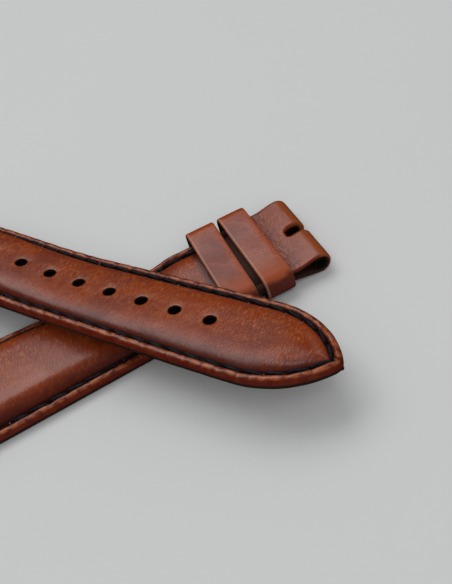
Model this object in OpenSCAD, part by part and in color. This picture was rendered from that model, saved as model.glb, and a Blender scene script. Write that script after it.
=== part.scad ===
// Padded leather watch strap, a loose pair: the long hole piece lies across the short buckle piece.
// Millimetres. X runs along the short piece toward its buckle end, Y across it, Z up.
// The origin is the middle of the buckle bar's hole, bar_h above the surface that the pair lies on.

/* [Strap] */
// Width at the watch lugs
lug_w = 22; // [20:0.5:24]
// Width at the buckle and along the tongue holes
end_w = 18; // [17:0.5:20]
// Length of the short piece over its folded ends
short_len = 75; // [70:1:90]
// Length of the long piece from its tip to its folded end
long_len = 120; // [112:1:135]

/* [Long piece] */
// Length of the curved point
point_len = 15.3; // [14:0.1:22]
// Distance from the tip to the first tongue hole
first_hole = 23.7; // [22:0.1:26]
// Distance from one tongue hole to the next
hole_pitch = 7; // [5.5:0.1:7.4]
// Number of tongue holes
hole_count = 8; // [5:1:8]
// Diameter of a tongue hole
hole_d = 2.1; // [1.6:0.1:2.6]
// Height of the crown along the holes, over the lining's underside
long_crown = 3.2; // [3:0.1:3.8]
// Distance from the first hole to where the piece starts to widen
taper_after = 26; // [20:1:34]
// Distance from the first hole to where the padding starts to rise
pad_after = 22; // [16:1:30]
// Length over which the padding rises to its full height
pad_rise = 45; // [36:1:54]

/* [Layers] */
// Height of the crown at the padded watch ends
lug_crown = 4.6; // [4.2:0.1:5.2]
// Height of the crown where the keepers sit
neck_crown = 2.8; // [2.6:0.05:3]
// Thickness of the top leather
upper_t = 0.95; // [0.8:0.05:1.1]
// Thickness of the lining leather
lining_t = 0.7; // [0.6:0.05:0.8]
// Thickness of the turned-under lips and of the stay tape between them
lip_t = 0.5; // [0.4:0.05:0.6]
// Width of a turned-under lip
lip_w = 4; // [3.4:0.1:4.4]
// Distance that the lining is set in from the edge
lining_inset = 0.8; // [0.5:0.1:1]
// Height of the rolled rim
rim_h = 2.35; // [2.2:0.05:2.5]
// Height of the turned edge's foot over the lining's underside
foot_h = 0.12; // [0.1:0.01:0.2]

/* [Stitching] */
// Distance of the seam from the edge
seam_inset = 1.6; // [1.5:0.05:1.9]
// Depth of the seam's furrow under the rim
furrow = 0.75; // [0.7:0.05:0.8]
// Distance from one stitch to the next
stitch_pitch = 3.6; // [3.2:0.1:4.2]
// Length of thread that shows in each stitch
stitch_len = 3; // [2.4:0.1:3.1]
// Diameter of the top thread
top_thread_d = 0.52; // [0.4:0.02:0.56]
// Diameter of the thread on the lining side
under_thread_d = 0.32; // [0.24:0.02:0.34]

/* [Bar holes] */
// Diameter of the hole for a spring bar
bar_hole_d = 1.9; // [1.6:0.1:2.1]
// Wall of the sleeve that lines a bar hole
sleeve_t = 0.23; // [0.15:0.01:0.3]
// Thickness of the leather rolled round a sleeve
roll_t = 0.95; // [0.8:0.05:1.1]
// Length of the fold under a watch end, from the bar hole's middle
fold_len = 7; // [6:0.5:9]
// Width of the slot for the buckle's tongue
slot_w = 2.6; // [2:0.1:3.4]
// Depth of that slot behind the bar hole's middle
slot_back = 2.6; // [2:0.1:3]

/* [Keepers] */
// Distance from the bar hole's middle to the fixed keeper
keeper_x = 5.8; // [5.4:0.1:7]
// Width of the fixed keeper
fixed_keeper_w = 5.5; // [4.5:0.1:7]
// Width of the free keeper
free_keeper_w = 6; // [4.5:0.1:7]
// Space between the two keepers
keeper_gap = 1; // [0.6:0.1:2]
// Thickness of a keeper's outer leather
keeper_t = 0.65; // [0.5:0.05:0.8]
// Thickness of a keeper's lining
keeper_lining_t = 0.42; // [0.3:0.02:0.6]
// Space beside and above the strap inside a keeper
keeper_play = 0.2; // [0.1:0.05:0.4]
// Extra room inside a keeper on its far side
keeper_side = 1; // [0:0.1:1.2]
// Outer corner radius of a keeper
keeper_r = 2.2; // [1.9:0.1:2.4]
// Length of the thin neck behind the free keeper
neck_spare = 2.9; // [2:0.1:4]

/* [Lay] */
// Angle between the two pieces, in degrees
cross_angle = 54.4; // [50:0.2:60]
// Distance of the first tongue hole behind the bar hole's middle
cross_back = 23.7; // [23:0.1:26]
// Distance of the first tongue hole to the near side
cross_side = 15.9; // [15:0.1:17]
// Height of the long piece's lower edge over the free keeper's corner
lay_gap = 0.2; // [0.1:0.05:0.5]
// Fall of the long piece toward its watch end, along the holes
lay_fall = 0.03; // [0.02:0.002:0.036]
// Bank of the long piece at its first hole, in degrees
bank = 8.2; // [7:0.1:9]
// Extra bank for each millimetre along the holes, in degrees
bank_rate = 0.12; // [0.06:0.01:0.14]
// Distance from the first hole to where the long piece starts to level out
bend_after = 29; // [26:1:32]
// Length over which it levels out, before it comes down to the table
bend_len = 23; // [20:1:26]

/* [Hidden] */

leather = [0.55, 0.24, 0.12];
suede = [0.36, 0.19, 0.12];
black_thread = [0.09, 0.09, 0.12];
board = [0.62, 0.52, 0.4];
tape = [0.82, 0.8, 0.74];
sleeve_cloth = [0.14, 0.14, 0.13];

ply_gap = 0.03;
sleeve_r = bar_hole_d / 2 + sleeve_t;
roll_in = sleeve_r + 0.02;
roll_r = roll_in + roll_t;
bar_h = roll_r;
ground = [0, 0, -bar_h];

keeper_wall = keeper_t + ply_gap + keeper_lining_t;
neck_base = keeper_wall + ply_gap;
neck_top = neck_base + neck_crown;
keeper_h = neck_top + keeper_play + keeper_wall;
keeper_half = end_w / 2 + keeper_play + keeper_wall;
free_keeper_x = keeper_x + fixed_keeper_w + keeper_gap;
neck_end = free_keeper_x + free_keeper_w + neck_spare;
pad_start = neck_end - 1.5;
ramp_len = 6;

short_bar = short_len - 2 * roll_r;
short_fold = short_bar - fold_len;
long_bar = long_len - roll_r;
long_fold = long_bar - fold_len;
body_start = keeper_x - 0.5;
flap_end = body_start + 1.8;
morph_len = 3.5;

lip_base = lining_t + ply_gap;
lip_top = lip_base + lip_t;
furrow_h = rim_h - furrow;
side_point = 5;   // in a ring, the edge's outermost point: no straight run of the outline points at it

function ease(t) = let (u = min(1, max(0, t))) u * u * (3 - 2 * u);
function mix(a, b, t) = a + (b - a) * t;
function unit(v) = v / norm(v);
function flat(lists) = [for (l = lists) for (p = l) p];
function turned(pts) = [for (i = [len(pts) - 1 : -1 : 0]) pts[i]];

// Heights of the top surface at distances from the edge, for a crown of the given height.
// level goes from 0, the crowned section, to 1, the level top of a rolled end.
function top_points(span, crown, level, top) =
    let (rise = crown - furrow_h,
         raw = [[0, mix(1.5, top * 0.5, level)],
                [0.2, mix(rim_h - 0.3, top - 0.7, level)],
                [0.75, mix(rim_h, top - 0.12, level)],
                [seam_inset - 0.45, mix(rim_h - 0.2, top, level)],
                [seam_inset, mix(furrow_h, top, level)],
                [seam_inset + 0.5, mix(furrow_h + 0.28 * rise, top, level)],
                [seam_inset + 1.6, mix(furrow_h + 0.7 * rise, top, level)],
                [seam_inset + 3.4, mix(furrow_h + 0.93 * rise, top, level)],
                [span + 1, mix(crown, top, level)]])
    [for (i = [0 : len(raw) - 1]) [squeeze(raw[i][0], span, i / (len(raw) - 1)), raw[i][1]]];

function squeeze(d, span, share) = min(d, span * (0.5 + 0.5 * share));

// Outside of the top leather, from the lip's inner end round the edge to the crown's middle
function skin_half(span, crown, level, top, under) =
    let (low = mix(min(under, foot_h), under, level), in = lining_inset - 2 * ply_gap)
    concat([[min(lip_w, span * 0.8), under], [min(in, span * 0.55), under],
            [min(in - 0.08, span * 0.5), low], [min(0.45, span * 0.4), low],
            [min(0.08, span * 0.15), mix(0.6, max(under, top * 0.22), level)]],
           top_points(span, crown, level, top));

// Inside of the top leather, from the lip's inner end to the middle under the crown
function core_half(span, crown) =
    let (rise = crown - furrow_h,
         in = seam_inset + 0.75)
    [[lip_w, lip_top], [in, lip_top], [in + 0.95, furrow_h + 0.62 * rise - upper_t + 0.25],
     [seam_inset + 3.5, furrow_h + 0.93 * rise - upper_t],
     [span, crown - upper_t]];

// A ring of points for a half section and its mirror image. place puts in space what lies at a
// distance from the edge, on a side (1 or -1), at a height.
function ring(half, place) =
    let (n = len(half))
    [for (k = [0 : 2 * n - 2])
        let (j = k < n ? k : 2 * n - 2 - k)
        place(half[j][0], k < n ? 1 : -1, half[j][1])];
function long_ring(i, half) = ring(half, function(d, side, h) long_place(i, d, side, h));
function short_ring(i, half) = ring(half, function(d, side, h) short_place(i, d, side, h));

// Sides of a tube of rings that all have the same number of points
function tube_faces(rings, per, first) =
    flat([for (i = [0 : rings - 2]) for (k = [0 : per - 1])
        let (a = first + i * per + k, b = first + i * per + (k + 1) % per)
        [[a, b, b + per], [a, b + per, a + per]]]);

module closed_tube(rings) {
    per = len(rings[0]);
    count = len(rings);
    last = (count - 1) * per;
    caps = concat([[for (k = [per - 1 : -1 : 0]) k]], [[for (k = [0 : per - 1]) last + k]]);
    polyhedron(points = flat(rings), faces = concat(tube_faces(count, per, 0), caps));
}

function turned_faces(faces) = [for (f = faces) turned(f)];

// Stations of the short piece: distances from the bar hole's middle, toward the watch end
neck_steps = 8;
pad_steps = 17;
short_at = concat([for (k = [0 : neck_steps - 1]) mix(body_start, neck_end, k / neck_steps)],
                  [for (k = [0 : pad_steps]) mix(neck_end, short_fold, k / pad_steps)],
                  [short_fold + 0.05, short_fold + morph_len, short_bar]);
short_open = neck_steps + 1;
lining_first = 2;
short_close = neck_steps + pad_steps;

function share(x, from, to) = min(1, max(0, (x - from) / (to - from)));
function short_half(x) = mix(end_w, lug_w, share(x, pad_start, short_fold)) / 2;
function short_base(x) = neck_base * (1 - ease((x - neck_end) / ramp_len));
function short_slope(x) = (short_base(x + 0.05) - short_base(x - 0.05)) / 0.1;
function short_crown(x) = mix(neck_crown, lug_crown, ease((x - pad_start) / (short_fold - pad_start) * 1.5));
function short_level(x) = x < neck_end ? 1 - ease((x - keeper_x) / morph_len)
                                       : ease((x - short_fold) / morph_len);
function short_top(x) = x < neck_end ? neck_crown - 0.3 + 0.3 * ease((x - body_start) / 2) : 2 * roll_r;

function short_point(x, y, h) = [-x + short_slope(x) * h, y, short_base(x) + h];
function short_place(i, d, side, h) =
    let (x = short_at[i])
    short_point(x, side * (short_half(x) - d), h);

// Stations of the long piece: turns of the point's curved edge, then distances from the tip
point_r = (pow(end_w / 2, 2) + pow(point_len, 2)) / end_w;
point_c = point_r - end_w / 2;
point_end = acos(point_c / (point_r - 0.8));
point_core = acos(point_c / (point_r - lip_w - 1.5));
straight_start = point_len + 3;
taper_start = first_hole + taper_after;
long_steps = 26;

long_turns = concat([for (k = [0 : 4]) mix(point_end, point_core, k / 4)],
                    [for (k = [1 : 6]) mix(point_core, 0, k / 6)]);
long_runs = concat([for (k = [0 : long_steps]) mix(straight_start, long_fold, k / long_steps)],
                   [long_fold + 0.05, long_fold + morph_len, long_bar]);
long_open = 4;
long_close = len(long_turns) + long_steps;
long_rings = len(long_turns) + len(long_runs);

function long_half(a) = mix(end_w, lug_w, pow(share(a, taper_start, long_fold), 1.6)) / 2;
function long_span(i) = i < len(long_turns) ? point_r - point_c / cos(long_turns[i])
                                            : long_half(long_runs[i - len(long_turns)]);
function long_run(i) = i < len(long_turns) ? point_len - point_r * sin(long_turns[i])
                                           : long_runs[i - len(long_turns)];
function long_crown_at(a) = mix(long_crown, lug_crown, ease((a - first_hole - pad_after) / pad_rise));
function long_level(a) = ease((a - long_fold) / morph_len);

// Lay of the long piece: the height and the bank of its underside, from the tip to the watch end
u_dir = [-cos(cross_angle), sin(cross_angle), 0];
v_dir = [sin(cross_angle), cos(cross_angle), 0];
cross_at = [-cross_back, -cross_side, 0];
corner = [-(free_keeper_x + free_keeper_w), -keeper_half + keeper_r * 0.3, 0] - cross_at;
corner_run = corner * u_dir;
corner_side = corner * v_dir;
hole_base = keeper_h + lay_gap + corner_side * tan(bank) + corner_run * lay_fall - foot_h;
bend_start = first_hole + bend_after;
bend_top = bend_start + bend_len;
land = long_fold - 1;
bend_base = hole_base - 0.05;
bend_slope = 0.05;

function hermite(z0, m0, z1, m1, run, t) =
    (2 * t * t * t - 3 * t * t + 1) * z0 + (t * t * t - 2 * t * t + t) * run * m0
    + (3 * t * t - 2 * t * t * t) * z1 + (t * t * t - t * t) * run * m1;
function lay_height(a) =
    a < bend_start ? hole_base - lay_fall * (a - first_hole)
    : a < bend_top ? hermite(hole_base - lay_fall * (bend_start - first_hole), -lay_fall,
                             bend_base, bend_slope, bend_top - bend_start,
                             (a - bend_start) / (bend_top - bend_start))
    : a < land ? hermite(bend_base, bend_slope, 0, 0, land - bend_top, (a - bend_top) / (land - bend_top))
    : 0;
function lay_slope(a) = (lay_height(a + 0.1) - lay_height(a - 0.1)) / 0.2;
function lay_bank(a) =
    -(bank + bank_rate * min(bend_top - first_hole, max(0, a - first_hole)))
    * (1 - ease((a - bend_top) / (land - 4 - bend_top)));

function long_point(a, y, h) =
    let (b = lay_bank(a),
         across = v_dir * cos(b) + [0, 0, sin(b)],
         along = unit(u_dir + [0, 0, lay_slope(a)]),
         up = cross(across, along))
    cross_at + u_dir * (a - first_hole) + [0, 0, lay_height(a)] + across * y + up * h;

function long_place(i, d, side, h) =
    i < len(long_turns)
    ? let (t = long_turns[i],
           a = point_len - (point_r - d) * sin(t),
           y = (point_r - d) * cos(t) - point_c)
      long_point(a, side * max(0, y), h)
    : long_point(long_run(i), side * (long_span(i) - d), h);

// The top leather as one closed skin, with an open core from ring open to ring close
// cap_a and cap_b say at which point of its ring each end cap's outline starts.
module skin(outer, inner, open, close, cap_a, cap_b) {
    per = len(outer[0]);
    count = len(outer);
    core_per = len(inner[0]);
    core_first = per * count;
    sides = flat([for (i = [0 : count - 2]) for (k = [0 : per - 2])
        let (a = i * per + k)
        [[a, a + 1, a + 1 + per], [a, a + 1 + per, a + per]]]);
    belly = flat([for (i = [0 : count - 2]) if (i < open || i >= close)
        let (a = i * per + per - 1, b = i * per)
        [[a, b, b + per], [a, b + per, a + per]]]);
    core = flat([for (i = [open : close - 1]) for (k = [0 : core_per - 2])
        let (a = core_first + (i - open) * core_per + k)
        [[a + 1, a, a + core_per], [a + 1, a + core_per, a + 1 + core_per]]]);
    lips = flat([for (i = [open : close - 1])
        let (f = i * per, g = core_first + (i - open) * core_per,
             n = i * per + per - 1, m = g + core_per - 1)
        [[g, f, f + per], [g, f + per, g + core_per],
         [n, m, m + core_per], [n, m + core_per, n + per]]]);
    wall_a = core_wall(open * per, core_first, per, core_per);
    wall_b = turned_faces(core_wall(close * per, core_first + (close - open) * core_per, per, core_per));
    last = (count - 1) * per;
    caps = [[for (k = [per - 1 : -1 : 0]) (k + cap_a) % per],
            [for (k = [0 : per - 1]) last + (k + cap_b) % per]];
    polyhedron(points = concat(flat(outer), flat(inner)),
               faces = concat(sides, belly, core, lips, wall_a, wall_b, caps));
}

// The end wall of the core, as two fans from the lips' inner ends and the piece between them
function core_wall(f, g, per, core_per) =
    let (mid = (core_per - 1) / 2, n = f + per - 1, m = g + core_per - 1)
    concat([for (k = [1 : mid - 1]) [g, g + k, g + k + 1]],
           [for (k = [mid : core_per - 3]) [m, g + k, g + k + 1]],
           [[g, g + mid, m], [g, m, n], [g, n, f]]);

function section_under(fold) = fold ? 0 : lip_base;

module short_skin() {
    outer = [for (i = [0 : len(short_at) - 1])
        let (x = short_at[i])
        short_ring(i, skin_half(short_half(x), short_crown(x), short_level(x), short_top(x),
                                section_under(x > short_fold + 0.01)))];
    inner = [for (i = [short_open : short_close])
        let (x = short_at[i])
        short_ring(i, core_half(short_half(x), short_crown(x)))];
    skin(outer, inner, short_open, short_close, side_point + 1, side_point);
}

module long_skin() {
    outer = [for (i = [0 : long_rings - 1])
        let (a = long_run(i))
        long_ring(i, skin_half(long_span(i), point_fall(i), long_level(a), 2 * roll_r,
                               section_under(a > long_fold + 0.01)))];
    inner = [for (i = [long_open : long_close])
        long_ring(i, core_half(long_span(i), point_fall(i)))];
    skin(outer, inner, long_open, long_close, 0, 0);
}

// The crown sinks toward the tip
function point_fall(i) =
    let (a = long_run(i), s = long_span(i))
    a > point_len ? long_crown_at(a) : mix(furrow_h, long_crown, ease(s / (end_w / 2)));

// Section of the padding, clear of the skin and of the stay tape
function pad_section(span, crown) =
    let (core = core_half(span, crown), g = 2 * ply_gap)
    concat([[lip_w + g, lip_top + g]], [[core[1][0] + 2 * g, core[1][1] + 2 * g]],
           [for (k = [2 : len(core) - 1]) [core[k][0] + (k < len(core) - 1 ? g : 0), core[k][1] - g]]);

function stay_section(span) =
    [[lip_w + 2 * ply_gap, lip_base], [lip_w + 2 * ply_gap, lip_top], [span, lip_top]];

function lining_section(span) =
    [[seam_inset + 0.45, 0], [seam_inset, 0.46], [seam_inset - 0.45, 0.01], [lining_inset, 0.06],
     [lining_inset, lining_t], [span, lining_t]];

// Number of whole stitches in a seam
function seam_count(len) = floor(len / stitch_pitch);

// A thread that lies along a path: thick where a stitch shows, thin where it dips into the leather.
// path is a list of [centre, radius].
module thread(path, sides) {
    last = len(path) - 1;
    step = 360 / sides;
    closed_tube([for (i = [0 : last])
        let (dir = unit(path[min(last, i + 1)][0] - path[max(0, i - 1)][0]),
             side = unit(cross([0, 0, 1], dir)),
             up = cross(dir, side))
        [for (k = [0 : sides - 1]) path[i][0] + path[i][1] * (side * cos(-step * k) + up * sin(-step * k))]]);
}

// Places along a seam of count stitches, as [distance, share of the full thickness]
function stitch_places(count) =
    flat([for (k = [0 : count - 1])
        let (mid = (k + 0.5) * stitch_pitch)
        [[mid - stitch_len * 0.5, 0.45], [mid - stitch_len * 0.36, 1],
         [mid + stitch_len * 0.36, 1], [mid + stitch_len * 0.5, 0.45]]]);

top_thread_h = furrow_h + top_thread_d * 0.95;
under_thread_h = 0.02 + under_thread_d / 2;

module short_seam(h, d, sides) {
    from = free_keeper_x + 1;
    count = seam_count(short_fold - 1 - from);
    for (side = [-1, 1])
        thread([for (w = stitch_places(count))
            let (x = from + w[0])
            [short_point(x, side * (short_half(x) - seam_inset), h), w[1] * d / 2]], sides);
}

// A point on the long piece's seam: w is the distance along it from the tip's corner
seam_start = 1.2;
seam_turn = acos(point_c / (point_r - seam_inset));
seam_arc = (point_r - seam_inset) * seam_turn * PI / 180;
function seam_point(w, side, h) =
    w < seam_arc
    ? let (t = seam_turn - w / (point_r - seam_inset) * 180 / PI)
      long_point(point_len - (point_r - seam_inset) * sin(t),
                 side * ((point_r - seam_inset) * cos(t) - point_c), h)
    : let (a = point_len + w - seam_arc)
      long_point(a, side * (long_half(a) - seam_inset), h);

module long_seam(h, d, sides) {
    count = seam_count(seam_arc + long_fold - 1 - point_len - seam_start);
    for (side = [-1, 1])
        thread([for (w = stitch_places(count))
            [seam_point(seam_start + w[0], side, h), w[1] * d / 2]], sides);
}

// The tongue holes, square to the strap's face
module tongue_holes() {
    for (k = [0 : hole_count - 1]) {
        a = first_hole + k * hole_pitch;
        foot = long_point(a, 0, -2);
        way = long_point(a, 0, lug_crown + 2) - foot;
        translate(foot)
            rotate([0, acos(way[2] / norm(way)), atan2(way[1], way[0])])
                cylinder(d = hole_d, h = norm(way), $fn = 32);
    }
}

// A rolled watch end, its X running back along the strap: the leather goes round the bar hole
module roll_end() {
    along_y(lug_w)
        circle(r = roll_r, $fn = 48);
    translate([0, -lug_w / 2, -roll_r + 0.05])
        cube([0.6, lug_w, 2 * roll_r - 0.1]);
}

module bar_bore() {
    along_y(lug_w + 2)
        circle(r = roll_in, $fn = 48);
}

module along_y(width) {
    rotate([90, 0, 0])
        translate([0, 0, -width / 2])
            linear_extrude(width)
                children();
}

module sleeve(width) {
    along_y(width)
        difference() {
            circle(r = sleeve_r, $fn = 48);
            circle(d = bar_hole_d, $fn = 48);
        }
}

// Side view of the buckle loop, with the bar hole's middle at the origin
module loop_profile() {
    top = neck_top - bar_h;
    difference() {
        union() {
            circle(r = roll_r, $fn = 64);
            polygon([[-body_start - 0.3, under_h], [-roll_r * 0.45, -roll_r * 0.8], [0, -roll_r * 0.6],
                     [0, roll_r * 0.6], [-roll_r * 0.35, roll_r * 0.85], [-body_start * 0.5, top - 0.12],
                     [-body_start * 0.8, top - 0.42], [-body_start - 0.3, top - 0.35]]);
        }
        circle(r = roll_in, $fn = 64);
        polygon([[0, 0.5], [-roll_in * 0.7, 0.5], [-body_start * 0.78, 0.12], [-body_start * 0.78, -0.12],
                 [-roll_in * 0.7, -0.5], [0, -0.5]]);
    }
}

// The end of the leather that comes back from the loop, between the skin and the keeper
under_h = neck_base - bar_h;
module loop_flap() {
    width = end_w - 2 * lining_inset + 6 * ply_gap;
    translate([-flap_end, -width / 2, under_h])
        cube([flap_end - body_start + 0.2, width, lip_base + 0.05]);
}

module tongue_slot() {
    translate([-slot_back, -slot_w / 2, -roll_r - 1])
        cube([slot_back + roll_r + 1, slot_w, 2 * roll_r + 2]);
}

// A closed loop of strip round the strap, with rounded corners
module rounded(w, h, r) {
    translate([-w / 2 + r, 0])
        square([w - 2 * r, h]);
    translate([-w / 2, r])
        square([w, h - 2 * r]);
    for (x = [-w / 2 + r, w / 2 - r])
        for (y = [r, h - r])
            translate([x, y])
                circle(r = r, $fn = 48);
}

module band(x, width, out, wall) {
    translate([-x - width, keeper_side / 2, 0])
        rotate([90, 0, 90])
            linear_extrude(width)
                difference() {
                    translate([0, out])
                        rounded(2 * (keeper_half - out) + keeper_side, keeper_h - 2 * out, keeper_r - out);
                    translate([0, out + wall])
                        rounded(2 * (keeper_half - out - wall) + keeper_side,
                                keeper_h - 2 * (out + wall), keeper_r - out - wall);
                }
}

module short_upper() {
    color(leather)
        difference() {
            union() {
                translate(ground)
                    short_skin();
                along_y(end_w)
                    loop_profile();
                loop_flap();
                translate([-short_bar, 0, 0])
                    roll_end();
            }
            translate([-short_bar, 0, 0])
                bar_bore();
            tongue_slot();
        }
}

module short_filler() {
    color(board)
        translate(ground)
            closed_tube([for (i = [short_open + 1 : short_close - 1])
                short_ring(i, pad_section(short_half(short_at[i]), short_crown(short_at[i])))]);
}

module short_stay() {
    color(tape)
        translate(ground)
            closed_tube([for (i = [short_open + 1 : short_close - 1])
                short_ring(i, stay_section(short_half(short_at[i])))]);
}

module short_lining() {
    color(suede)
        translate(ground)
            closed_tube([for (i = [lining_first : short_close])
                short_ring(i, lining_section(short_half(short_at[i])))]);
}

module short_top_thread() {
    color(black_thread)
        translate(ground)
            short_seam(top_thread_h, top_thread_d, 6);
}

module short_under_thread() {
    color(black_thread)
        translate(ground)
            short_seam(under_thread_h, under_thread_d, 4);
}

module buckle_sleeve() {
    color(sleeve_cloth)
        difference() {
            sleeve(end_w);
            tongue_slot();
        }
}

module short_lug_sleeve() {
    color(sleeve_cloth)
        translate([-short_bar, 0, 0])
            sleeve(lug_w);
}

module fixed_keeper() {
    color(leather)
        translate(ground)
            band(keeper_x, fixed_keeper_w, 0, keeper_t);
}

module fixed_keeper_lining() {
    color(suede)
        translate(ground)
            band(keeper_x + 0.2, fixed_keeper_w - 0.4, keeper_t + ply_gap, keeper_lining_t);
}

module free_keeper() {
    color(leather)
        translate(ground)
            band(free_keeper_x, free_keeper_w, 0, keeper_t);
}

module free_keeper_lining() {
    color(suede)
        translate(ground)
            band(free_keeper_x + 0.2, free_keeper_w - 0.4, keeper_t + ply_gap, keeper_lining_t);
}

module long_upper() {
    color(leather)
        translate(ground)
            difference() {
                union() {
                    long_skin();
                    long_end_place()
                        roll_end();
                }
                long_end_place()
                    bar_bore();
                tongue_holes();
            }
}

// Puts a child at the long piece's bar hole, its X running back along the strap
module long_end_place() {
    translate(cross_at + u_dir * (long_bar - first_hole) + [0, 0, bar_h])
        rotate([0, 0, -cross_angle])
            children();
}

module long_filler() {
    color(board)
        translate(ground)
            difference() {
                closed_tube([for (i = [long_open + 1 : long_close - 1])
                    long_ring(i, pad_section(long_span(i), point_fall(i)))]);
                tongue_holes();
            }
}

module long_stay() {
    color(tape)
        translate(ground)
            difference() {
                closed_tube([for (i = [long_open + 1 : long_close - 1])
                    long_ring(i, stay_section(long_span(i)))]);
                tongue_holes();
            }
}

module long_lining() {
    color(suede)
        translate(ground)
            difference() {
                closed_tube([for (i = [1 : long_close])
                    long_ring(i, lining_section(long_span(i)))]);
                tongue_holes();
            }
}

module long_top_thread() {
    color(black_thread)
        translate(ground)
            long_seam(top_thread_h, top_thread_d, 6);
}

module long_under_thread() {
    color(black_thread)
        translate(ground)
            long_seam(under_thread_h, under_thread_d, 4);
}

module long_lug_sleeve() {
    color(sleeve_cloth)
        translate(ground)
            long_end_place()
                sleeve(lug_w);
}

short_upper();
short_filler();
short_stay();
short_lining();
short_top_thread();
short_under_thread();
buckle_sleeve();
short_lug_sleeve();
fixed_keeper();
fixed_keeper_lining();
free_keeper();
free_keeper_lining();
long_upper();
long_filler();
long_stay();
long_lining();
long_top_thread();
long_under_thread();
long_lug_sleeve();
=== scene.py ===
import math
import random

import bpy
import numpy as np
from mathutils import Matrix, Vector


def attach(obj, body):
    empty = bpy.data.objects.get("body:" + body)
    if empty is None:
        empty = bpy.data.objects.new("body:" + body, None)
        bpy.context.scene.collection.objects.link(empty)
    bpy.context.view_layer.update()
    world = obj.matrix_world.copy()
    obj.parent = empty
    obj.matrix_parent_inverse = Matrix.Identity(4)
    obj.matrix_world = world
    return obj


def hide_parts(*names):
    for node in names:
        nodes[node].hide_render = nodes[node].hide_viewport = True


# A leather watch strap in two loose pieces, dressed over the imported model.
# Shapes are worked out in millimetres above the table and brought into the frame by toFrame.
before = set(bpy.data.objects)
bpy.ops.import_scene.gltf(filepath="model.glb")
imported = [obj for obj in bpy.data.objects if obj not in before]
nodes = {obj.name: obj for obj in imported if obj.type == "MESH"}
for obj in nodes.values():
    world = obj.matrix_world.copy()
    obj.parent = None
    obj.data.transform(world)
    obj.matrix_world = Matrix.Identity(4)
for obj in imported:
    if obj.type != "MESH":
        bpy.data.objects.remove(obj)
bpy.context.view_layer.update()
print("frame loaded")

mm = 0.001
barHeight = 2.15      # the bar hole's middle over the table

# The camera stands where the fit of the photograph puts it
photoCamera = {
    "place": (-38.270, -104.912, 106.937),
    "look": (0.14297, 0.67684, -0.72211),
    "up": (0.44483, 0.60782, 0.65779),
    "focalPixels": 831.18,
    "frameHeight": 584,
}

look = Vector(photoCamera["look"]).normalized()
right = look.cross(Vector(photoCamera["up"])).normalized()
upward = right.cross(look)
turn = Matrix((right, upward, -look)).transposed().to_4x4()
bpy.ops.object.camera_add()
camera = bpy.context.object
camera.matrix_world = Matrix.Translation(Vector(photoCamera["place"]) * mm) @ turn
camera.data.sensor_width = 36
camera.data.lens = photoCamera["focalPixels"] * 36 / photoCamera["frameHeight"]
camera.data.clip_start = 0.005
bpy.context.scene.camera = camera


def ease(t):
    u = np.clip(t, 0, 1)
    return u * u * (3 - 2 * u)


def mix(a, b, t):
    return a + (b - a) * t


def share(x, start, end):
    return np.clip((x - start) / (end - start), 0, 1)


def bump(distance, width):       # a soft hill that is 1 at distance 0
    return np.exp(-(distance / width) ** 2)


def throughPoints(points, x):    # a smooth line through points, without overshoot
    px, py = np.array(points, float).T
    step, rise = np.diff(px), np.diff(py)
    slope = rise / step
    tangent = np.zeros(len(px))
    tangent[0], tangent[-1] = slope[0], slope[-1]
    for k in range(1, len(px) - 1):
        a, b = slope[k - 1], slope[k]
        tangent[k] = 0 if a * b <= 0 else 3 * (step[k - 1] + step[k]) / (
            (2 * step[k] + step[k - 1]) / a + (step[k] + 2 * step[k - 1]) / b)
    x = np.clip(x, px[0], px[-1])
    i = np.clip(np.searchsorted(px, x, side="right") - 1, 0, len(step) - 1)
    t = (x - px[i]) / step[i]
    return ((2 * t ** 3 - 3 * t ** 2 + 1) * py[i] + (t ** 3 - 2 * t ** 2 + t) * step[i] * tangent[i]
            + (3 * t ** 2 - 2 * t ** 3) * py[i + 1] + (t ** 3 - t ** 2) * step[i] * tangent[i + 1])


def ripple(x, y, size, seed, waves=14):     # a smooth uneven field, about -1 to 1
    draw = random.Random(seed)
    total = 0
    for _ in range(waves):
        heading, length = draw.uniform(0, math.tau), size * draw.uniform(0.6, 1.6)
        total = total + np.sin((x * math.cos(heading) + y * math.sin(heading)) * math.tau / length
                               + draw.uniform(0, math.tau))
    return total / math.sqrt(waves * 2)


def toFrame(points):             # millimetres over the table to metres in the frame
    return (np.asarray(points, float) - np.array([0, 0, barHeight])) * mm


# Both pieces share one section: a rolled rim, a furrow with the seam, and a padded crown
section = {
    "endW": 18.0, "lugW": 22.0, "furrowH": 1.6, "seamIn": 1.6, "lipW": 4.0, "lipBase": 0.73, "lipTop": 1.23,
    "upperT": 0.95, "liningT": 0.7, "barR": 2.15, "boreR": 1.2, "stitchPitch": 3.6,
}

halfEnd = section["endW"] / 2

# Distances from the edge: the lip from its inner end, the edge itself, rim, furrow and slope
lipSteps = [4.0, 2.6, 1.3, 0.75, 0.72, 0.6, 0.44, 0.25, 0.09]
edgeSteps = [0.0, 0.0, 0.03, 0.11, 0.24, 0.42, 0.62, 0.82, 1.0, 1.15, 1.28, 1.4, 1.5, 1.6]
slopeSteps = [1.7, 1.8, 1.92, 2.07, 2.25, 2.48, 2.76, 3.1, 3.5, 3.95, 4.4]
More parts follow.
